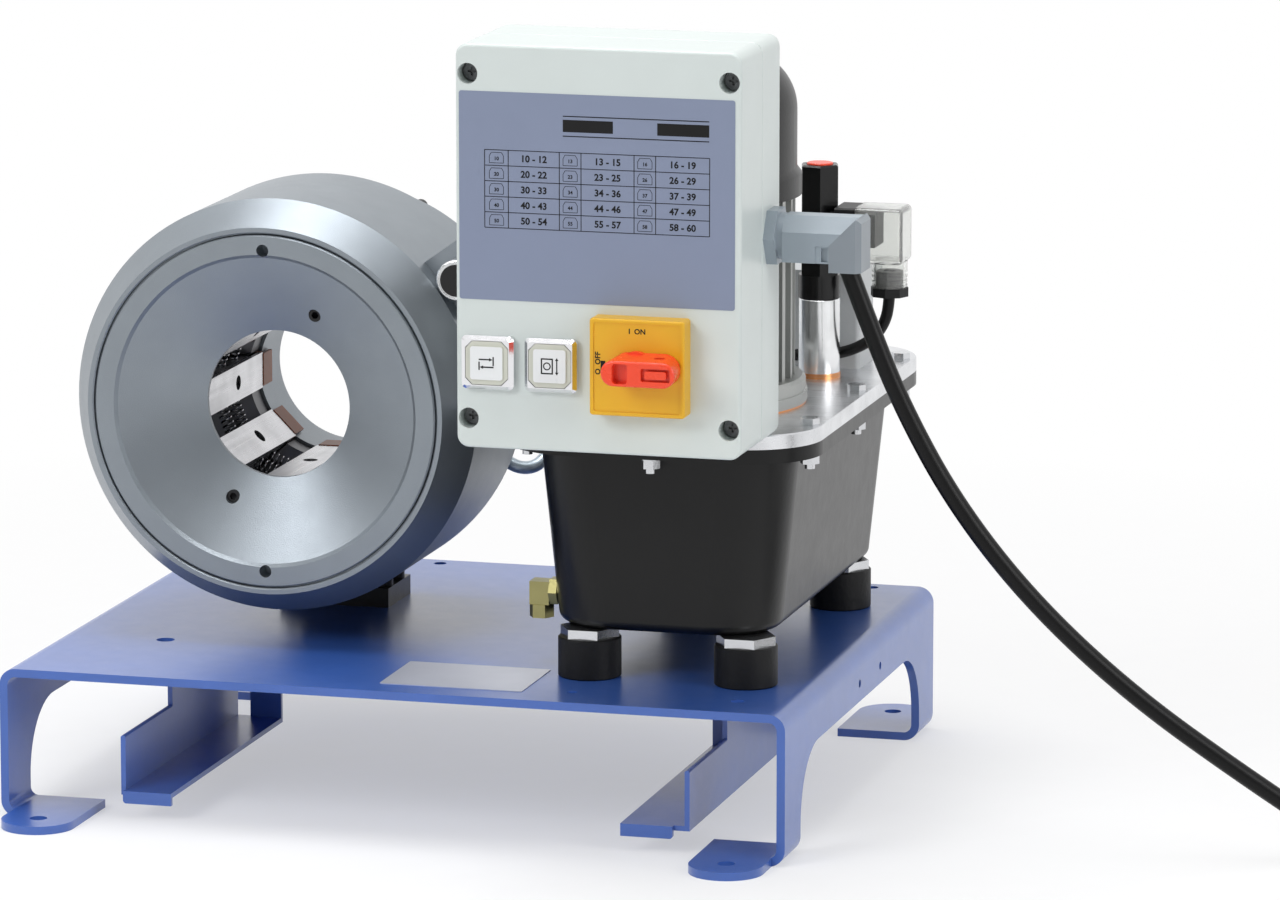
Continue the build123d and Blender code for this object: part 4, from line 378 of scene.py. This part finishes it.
# ---------------------------------------------------------------- cords
def nurbs(name, points, diameter, material):
    """Round cord along one smooth spline with those control points."""
    curve = bpy.data.curves.new(name, "CURVE")
    curve.dimensions = "3D"
    spline = curve.splines.new("NURBS")
    spline.points.add(len(points) - 1)
    for place, point in zip(spline.points, points):
        place.co = (*point, 1)
    spline.order_u = 3
    spline.use_endpoint_u = True
    spline.resolution_u = 12
    curve.bevel_depth = diameter / 2
    curve.bevel_resolution = 6
    curve.use_fill_caps = True
    curve.materials.append(material)
    piece = bpy.data.objects.new(name, curve)
    scene.collection.objects.link(piece)
    return piece


# the mains cable falls from its elbow in one upright plane, to a coil on the floor
cable_d = 11 * MM
cable_line = Vector((0.9731, 0.2303, 0)).normalized()
cable_start = Vector((0.268, -0.152, 0))
# distance along that line, and height
cable_route = [
    (-0.0021, 0.350),
    (0.0108, 0.315),
    (0.0305, 0.266),
    (0.0615, 0.209),
    (0.1055, 0.1525),
    (0.164, 0.0975),
    (0.235, 0.0465),
    (0.297, 0.00555),
    (0.347, 0.00555),
]
coil_lead = 45 * MM
coil_radius = 60.5 * MM
coil_rows = 4
coil_pitch = 11.2 * MM
plug_angle = math.radians(60)
turn_points = 14

mains_points = [cable_start + cable_line * along + Vector((0, 0, z)) for along, z in cable_route]
layer_turns = coil_rows - 1
outer_turn = coil_radius + coil_pitch * layer_turns / 2
inner_turn = outer_turn - coil_pitch * layer_turns
sideways = Vector((-cable_line.y, cable_line.x, 0))
lead_in = mains_points[-1]
coil_centre = lead_in + cable_line * coil_lead + sideways * outer_turn
first_angle = math.atan2(-sideways.y, -sideways.x)
climb = (plug_angle - first_angle) / math.tau
turns = 2 * layer_turns + climb
steps = round(turns * turn_points)
# control points of a round turn lie a little outside it
spread = 1 + (1 - math.cos(math.tau / turn_points)) / 4
# inwards on the floor, up through part of a turn, and outwards on top
for step in range(steps + 1):
    turn = turns * step / steps
    if turn < layer_turns:
        radius = outer_turn - coil_pitch * turn
        height = 0
    else:
        radius = inner_turn + coil_pitch * max(0, turn - layer_turns - climb)
        height = coil_pitch * min(1, (turn - layer_turns) / climb)
    angle = first_angle + math.tau * turn
    offset = Vector((math.cos(angle), math.sin(angle), 0)) * radius * spread
    mains_points.append(coil_centre + offset + Vector((0, 0, height)))
plug_heading = Vector((-math.sin(plug_angle), math.cos(plug_angle), 0))
plug_rear = (
    coil_centre
    + Vector((math.cos(plug_angle), math.sin(plug_angle), 0)) * outer_turn
    + plug_heading * coil_lead
    + Vector((0, 0, coil_pitch))
)
mains_points.append(plug_rear - plug_heading * coil_lead / 2)
mains_points.append(plug_rear)
mains = nurbs("mains_lead", mains_points, cable_d, finish["cable"])
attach(mains, "machine")
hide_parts("mains_cable", "cable_coil")

valve_points = [
    (0.2405, 0.062, 0.2977),
    (0.240, 0.0623, 0.2865),
    (0.2364, 0.0641, 0.276),
    (0.2293, 0.0677, 0.267),
    (0.2195, 0.0726, 0.2605),
    (0.2075, 0.0787, 0.2553),
    (0.1905, 0.0858, 0.2515),
    (0.167, 0.095, 0.250),
]
valve_lead = nurbs("valve_lead", valve_points, 7 * MM, finish["cable"])
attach(valve_lead, "machine")
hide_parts("valve_cable")


# ---------------------------------------------------------------- return springs
def mesh_piece(name, vertices, faces, material, body):
    """Mesh object that rides on a body and takes the given material in a slot."""
    mesh = bpy.data.meshes.new(name)
    mesh.from_pydata(vertices, [], faces)
    shape = bmesh.new()
    shape.from_mesh(mesh)
    bmesh.ops.recalc_face_normals(shape, faces=shape.faces)
    shape.to_mesh(mesh)
    shape.free()
    mesh.materials.append(material)
    piece = bpy.data.objects.new(name, mesh)
    scene.collection.objects.link(piece)
    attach(piece, body)
    return piece


head_centre = Vector((-0.104, -0.096, 0.2346))
die_count = 8
die_half_width = 11 * MM
spring_ring = 57 * MM
spring_depths = (85 * MM, 108 * MM)
spring_seat = 3.5 * MM
spring_radius = 4 * MM
wire_radius = 0.6 * MM
wire_sides = 6
end_turn = 0.9
coil_turns = 11
coil_steps = 16
half_gap = math.pi / die_count
half_spring = spring_ring * math.sin(half_gap) - die_half_width * math.cos(half_gap) + spring_seat
spring_length = 2 * half_spring
spring_reach = spring_ring * math.cos(half_gap) + die_half_width * math.sin(half_gap)


def coil_spring(number, row):
    """Return spring from one die to the next; it rides on the first."""
    middle = math.tau * (number - 1) / die_count + half_gap
    outward = Vector((math.cos(middle), 0, math.sin(middle)))
    along = Vector((-math.sin(middle), 0, math.cos(middle)))
    depth = Vector((0, 1, 0))
    middle_point = head_centre + outward * spring_reach + depth * spring_depths[row]
    start = middle_point - along * spring_length / 2
    coil = spring_radius - wire_radius
    total = coil_turns * coil_steps
    vertices = []
    faces = []
    for step in range(total + 1):
        share = step / total
        # the end turns lie flat against the seats
        rise = min(1, max(0, (share * coil_turns - end_turn) / (coil_turns - 2 * end_turn)))
        turn = math.tau * step / coil_steps
        radial = outward * math.cos(turn) + depth * math.sin(turn)
        centre = start + radial * coil
        centre += along * (wire_radius + rise * (spring_length - 2 * wire_radius))
        for side in range(wire_sides):
            around_wire = math.tau * side / wire_sides
            out_of_wire = radial * math.cos(around_wire) + along * math.sin(around_wire)
            vertices.append(centre + out_of_wire * wire_radius)
        if step:
            last = step * wire_sides
            before = last - wire_sides
            for side in range(wire_sides):
                after = (side + 1) % wire_sides
                faces.append((before + side, before + after, last + after, last + side))
    faces.append(tuple(range(wire_sides)))
    faces.append(tuple(range(total * wire_sides, (total + 1) * wire_sides)))
    name = f"return_spring_{number}_{row + 1}"
    piece = mesh_piece(name, vertices, faces, finish["springs"], f"die_{number}")
    piece.data.polygons.foreach_set("use_smooth", [True] * len(faces))
    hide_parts("die_springs")
    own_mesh(piece)


for number in range(1, die_count + 1):
    for row in range(len(spring_depths)):
        coil_spring(number, row)


# ---------------------------------------------------------------- prints and plates
def prisms(name, outlines, origin, thickness, material, body, up=(0, 0, 1)):
    """Thin raised areas from outlines in millimetres, drawn rightwards and along up from origin."""
    right = Vector((1, 0, 0))
    up = Vector(up)
    rise = right.cross(up) * thickness
    vertices = []
    faces = []
    for outline in outlines:
        first = len(vertices)
        count = len(outline)
        lower = [Vector(origin) + right * (x * MM) + up * (y * MM) for x, y in outline]
        vertices += lower + [point + rise for point in lower]
        faces.append(tuple(range(first, first + count)))
        faces.append(tuple(range(first + count, first + 2 * count)))
        for corner in range(count):
            after = (corner + 1) % count
            upper = first + count
            faces.append((first + corner, first + after, upper + after, upper + corner))
    return mesh_piece(name, vertices, faces, material, body)


def bar(x0, y0, x1, y1):
    """Outline of an upright rectangle."""
    return [(x0, y0), (x1, y0), (x1, y1), (x0, y1)]


def frame_bars(x0, y0, x1, y1, line):
    """Outline of a rectangle as four bars."""
    return [
        bar(x0, y0, x1, y0 + line),
        bar(x0, y1 - line, x1, y1),
        bar(x0, y0 + line, x0 + line, y1 - line),
        bar(x1 - line, y0 + line, x1, y1 - line),
    ]


def rounded(x0, y0, x1, y1, radius, steps=6):
    """Rectangle with round corners."""
    left, right, low, high = x0 + radius, x1 - radius, y0 + radius, y1 - radius
    points = []
    for corner, (cx, cy) in enumerate(((right, high), (left, high), (left, low), (right, low))):
        for step in range(steps + 1):
            angle = math.pi / 2 * (corner + step / steps)
            points.append((cx + radius * math.cos(angle), cy + radius * math.sin(angle)))
    return points


def disc(cx, cy, radius, steps=48):
    """Outline of a circle."""
    angles = [math.tau * step / steps for step in range(steps)]
    return [(cx + radius * math.cos(angle), cy + radius * math.sin(angle)) for angle in angles]


def ring(cx, cy, radius, line, steps=32):
    """Circle drawn with a line of that width, as short bars."""
    outer = disc(cx, cy, radius, steps)
    inner = disc(cx, cy, radius - line, steps)
    pairs = [(i, (i + 1) % steps) for i in range(steps)]
    return [[outer[i], outer[after], inner[after], inner[i]] for i, after in pairs]


def arrow(x0, x1, y, head, line):
    """Level arrow from x0 to x1."""
    back = x1 - head if x1 > x0 else x1 + head
    shaft = bar(min(x0, back), y - line / 2, max(x0, back), y + line / 2)
    return [shaft, [(back, y - head / 2), (x1, y), (back, y + head / 2)]]


print_depth = 0.06 * MM
print_spread = 0.03  # of a character's size, to each side of its strokes


def lettering(name, text, place, size, body, line_pitch=None, turn=0):
    """Raised plain characters on an upright face; size and place in metres."""
    words = bpy.data.curves.new(name, "FONT")
    words.body = text
    words.size = size
    words.align_x = "CENTER"
    words.align_y = "CENTER" if line_pitch is None else "TOP_BASELINE"
    words.extrude = print_depth
    words.offset = size * print_spread
    words.resolution_u = 4
    if line_pitch:
        words.space_line = line_pitch / size
    words.materials.append(finish["print"])
    piece = bpy.data.objects.new(name, words)
    piece.location = place
    piece.rotation_euler = (math.radians(90), math.radians(-turn), 0)
    scene.collection.objects.link(piece)
    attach(piece, body)
    return piece


# foil on the lid: bars, and a table of dies and diameters
lid_low, lid_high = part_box("box_lid")
foil_size = (162.5, 120)
foil_inset = 2.2 * MM
foil_drop = 147 * MM
foil = 0.25 * MM
foil_place = (lid_low[0] + foil_inset, lid_low[1], lid_high[2] - foil_drop)
print_place = (foil_place[0], foil_place[1] - foil, foil_place[2])
foil_outline = [rounded(0, 0, *foil_size, 1.5)]
prisms("lid_foil", foil_outline, foil_place, foil, finish["panel"], "machine")

table_columns = (15.2, 29.2, 59.4, 72.2, 103.4, 116.1, 147.7)
table_top = 86.6
row_pitch = 8.95
table_rows = 5
line = 0.45
table_bottom = table_top - table_rows * row_pitch
table = [bar(x - line / 2, table_bottom, x + line / 2, table_top) for x in table_columns]
for row in range(table_rows + 1):
    y = table_top - row * row_pitch
    table.append(bar(table_columns[0], y - line / 2, table_columns[-1], y + line / 2))
# die outlines in the narrow columns: half width, half height, shoulder and half line
mark = (4.2, 3.0)
mark_shoulder = (mark[0] * 0.72, mark[1] / 3)
mark_half_line = 0.15
for column in (0, 2, 4):
    x = (table_columns[column] + table_columns[column + 1]) / 2
    for row in range(table_rows):
        y = table_top - (row + 0.5) * row_pitch
        corners = [
            (x - mark[0], y - mark[1]),
            (x + mark[0], y - mark[1]),
            (x + mark[0], y + mark_shoulder[1]),
            (x + mark_shoulder[0], y + mark[1]),
            (x - mark_shoulder[0], y + mark[1]),
            (x - mark[0], y + mark_shoulder[1]),
        ]
        for start, end in zip(corners, corners[1:] + corners[:1]):
            across = Vector((start[1] - end[1], end[0] - start[0])).normalized() * mark_half_line
            table.append(
                [
                    (start[0] - across.x, start[1] - across.y),
                    (end[0] - across.x, end[1] - across.y),
                    (end[0] + across.x, end[1] + across.y),
                    (start[0] + across.x, start[1] + across.y),
                ]
            )
# heading: two bars between two lines
heading = (61.5, 147.4)
heading_half_line = 0.3
for x0, x1 in ((heading[0], 91), (117, heading[1])):
    table.append(bar(x0, 98.4, x1, 105.4))
for y in (96.0, 107.4):
    table.append(bar(heading[0], y - heading_half_line, heading[1], y + heading_half_line))
prisms("foil_table", table, print_place, print_depth, finish["print"], "machine")


def table_numbers(name, texts, first_column, size, drop=0.0):
    """Numbers in every second column, one to a row, drop millimetres below its middle."""
    half_digit = 0.35 * size
    for count, text in enumerate(texts):
        column = first_column + 2 * count
        x = (table_columns[column] + table_columns[column + 1]) / 2 * MM
        y = (table_top - row_pitch / 2 - drop) * MM - half_digit
        spot = (print_place[0] + x, print_place[1], print_place[2] + y)
        title = f"{name}_{count + 1}"
        lettering(title, text, spot, size, "machine", row_pitch * MM)


ranges = (
    "10 - 12\n20 - 22\n30 - 33\n40 - 43\n50 - 54",
    "13 - 15\n23 - 25\n34 - 36\n44 - 46\n55 - 57",
    "16 - 19\n26 - 29\n37 - 39\n47 - 49\n58 - 60",
)
small_numbers = ("10\n20\n30\n40\n50", "13\n23\n34\n44\n55", "16\n26\n37\n47\n58")
table_numbers("foil_numbers", ranges, 1, 5.4 * MM)
table_numbers("foil_dies", small_numbers, 0, 2.9 * MM, drop=0.4)

# main switch: plain ON and OFF, and a pointer
switch_low, switch_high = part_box("switch_plate")
switch_x = (switch_low[0] + switch_high[0]) / 2
switch_z = (switch_low[2] + switch_high[2]) / 2
switch_rim = 0.6 * MM
switch_face = switch_low[1] + switch_rim
switch_size = 4.2 * MM
raised = 0.3 * MM
on_place = (switch_x, switch_face, switch_z + 21 * MM)
lettering("switch_on", "I  ON", on_place, switch_size, "machine")
off_place = (switch_x - 23 * MM, switch_face, switch_z + 2 * MM)
lettering("switch_off", "O  OFF", off_place, switch_size, "machine", turn=90)
pointer = [bar(-21.4, -3.5, -18.8, 3.5)]
pointer_place = (switch_x, switch_face, switch_z)
prisms(
    "switch_pointer", pointer, pointer_place, raised, finish["print"], "machine"
)

# white caps with plain marks
half_cap = 9.6
mark_line = 0.8
left_marks = [bar(-4.6, -3.9, -3.8, 0.9), bar(3.8, -1.4, 4.6, 3.9)]
left_marks += arrow(-4.4, 3.8, 2.2, 2.0, mark_line) + arrow(4.4, -3.8, -2.2, 2.0, mark_line)
right_marks = frame_bars(-5, -4.6, 2.2, 4.6, mark_line) + ring(-1.4, 0, 2.3, 0.7)
right_marks += [
    bar(4.1, -3.4, 4.8, 3.4),
    [(3.4, 3.4), (5.5, 3.4), (4.45, 5.0)],
    [(3.4, -3.4), (4.45, -5.0), (5.5, -3.4)],
]
for body, marks in (("button_left", left_marks), ("button_right", right_marks)):
    low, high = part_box(body)
    centre = ((low[0] + high[0]) / 2, low[1], (low[2] + high[2]) / 2)
    outline = [rounded(-half_cap, -half_cap, half_cap, half_cap, 1.6)]
    prisms(f"{body}_cap", outline, centre, raised, finish["cap_white"], body)
    mark_place = (centre[0], centre[1] - raised, centre[2])
    prisms(f"{body}_mark", marks, mark_place, print_depth, finish["print"], body)

# bare rating plate on the base, and the black face of the dial
plate_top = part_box("base_frame")[1][2]
rating = [rounded(-43.5, -31, 43.5, 31, 1.5)]
rating_place = (0.033, -0.137, plate_top)
rating_thickness = 0.4 * MM
prisms(
    "rating_plate",
    rating,
    rating_place,
    rating_thickness,
    finish["bare_plate"],
    "machine",
    up=(0, 1, 0),
)
dial_low, dial_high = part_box("dial_knob")
dial_place = ((dial_low[0] + dial_high[0]) / 2, dial_low[1], (dial_low[2] + dial_high[2]) / 2)
dial_disc = [disc(0, 0, 9.6)]
prisms("dial_face", dial_disc, dial_place, raised, finish["dial_black"], "dial")
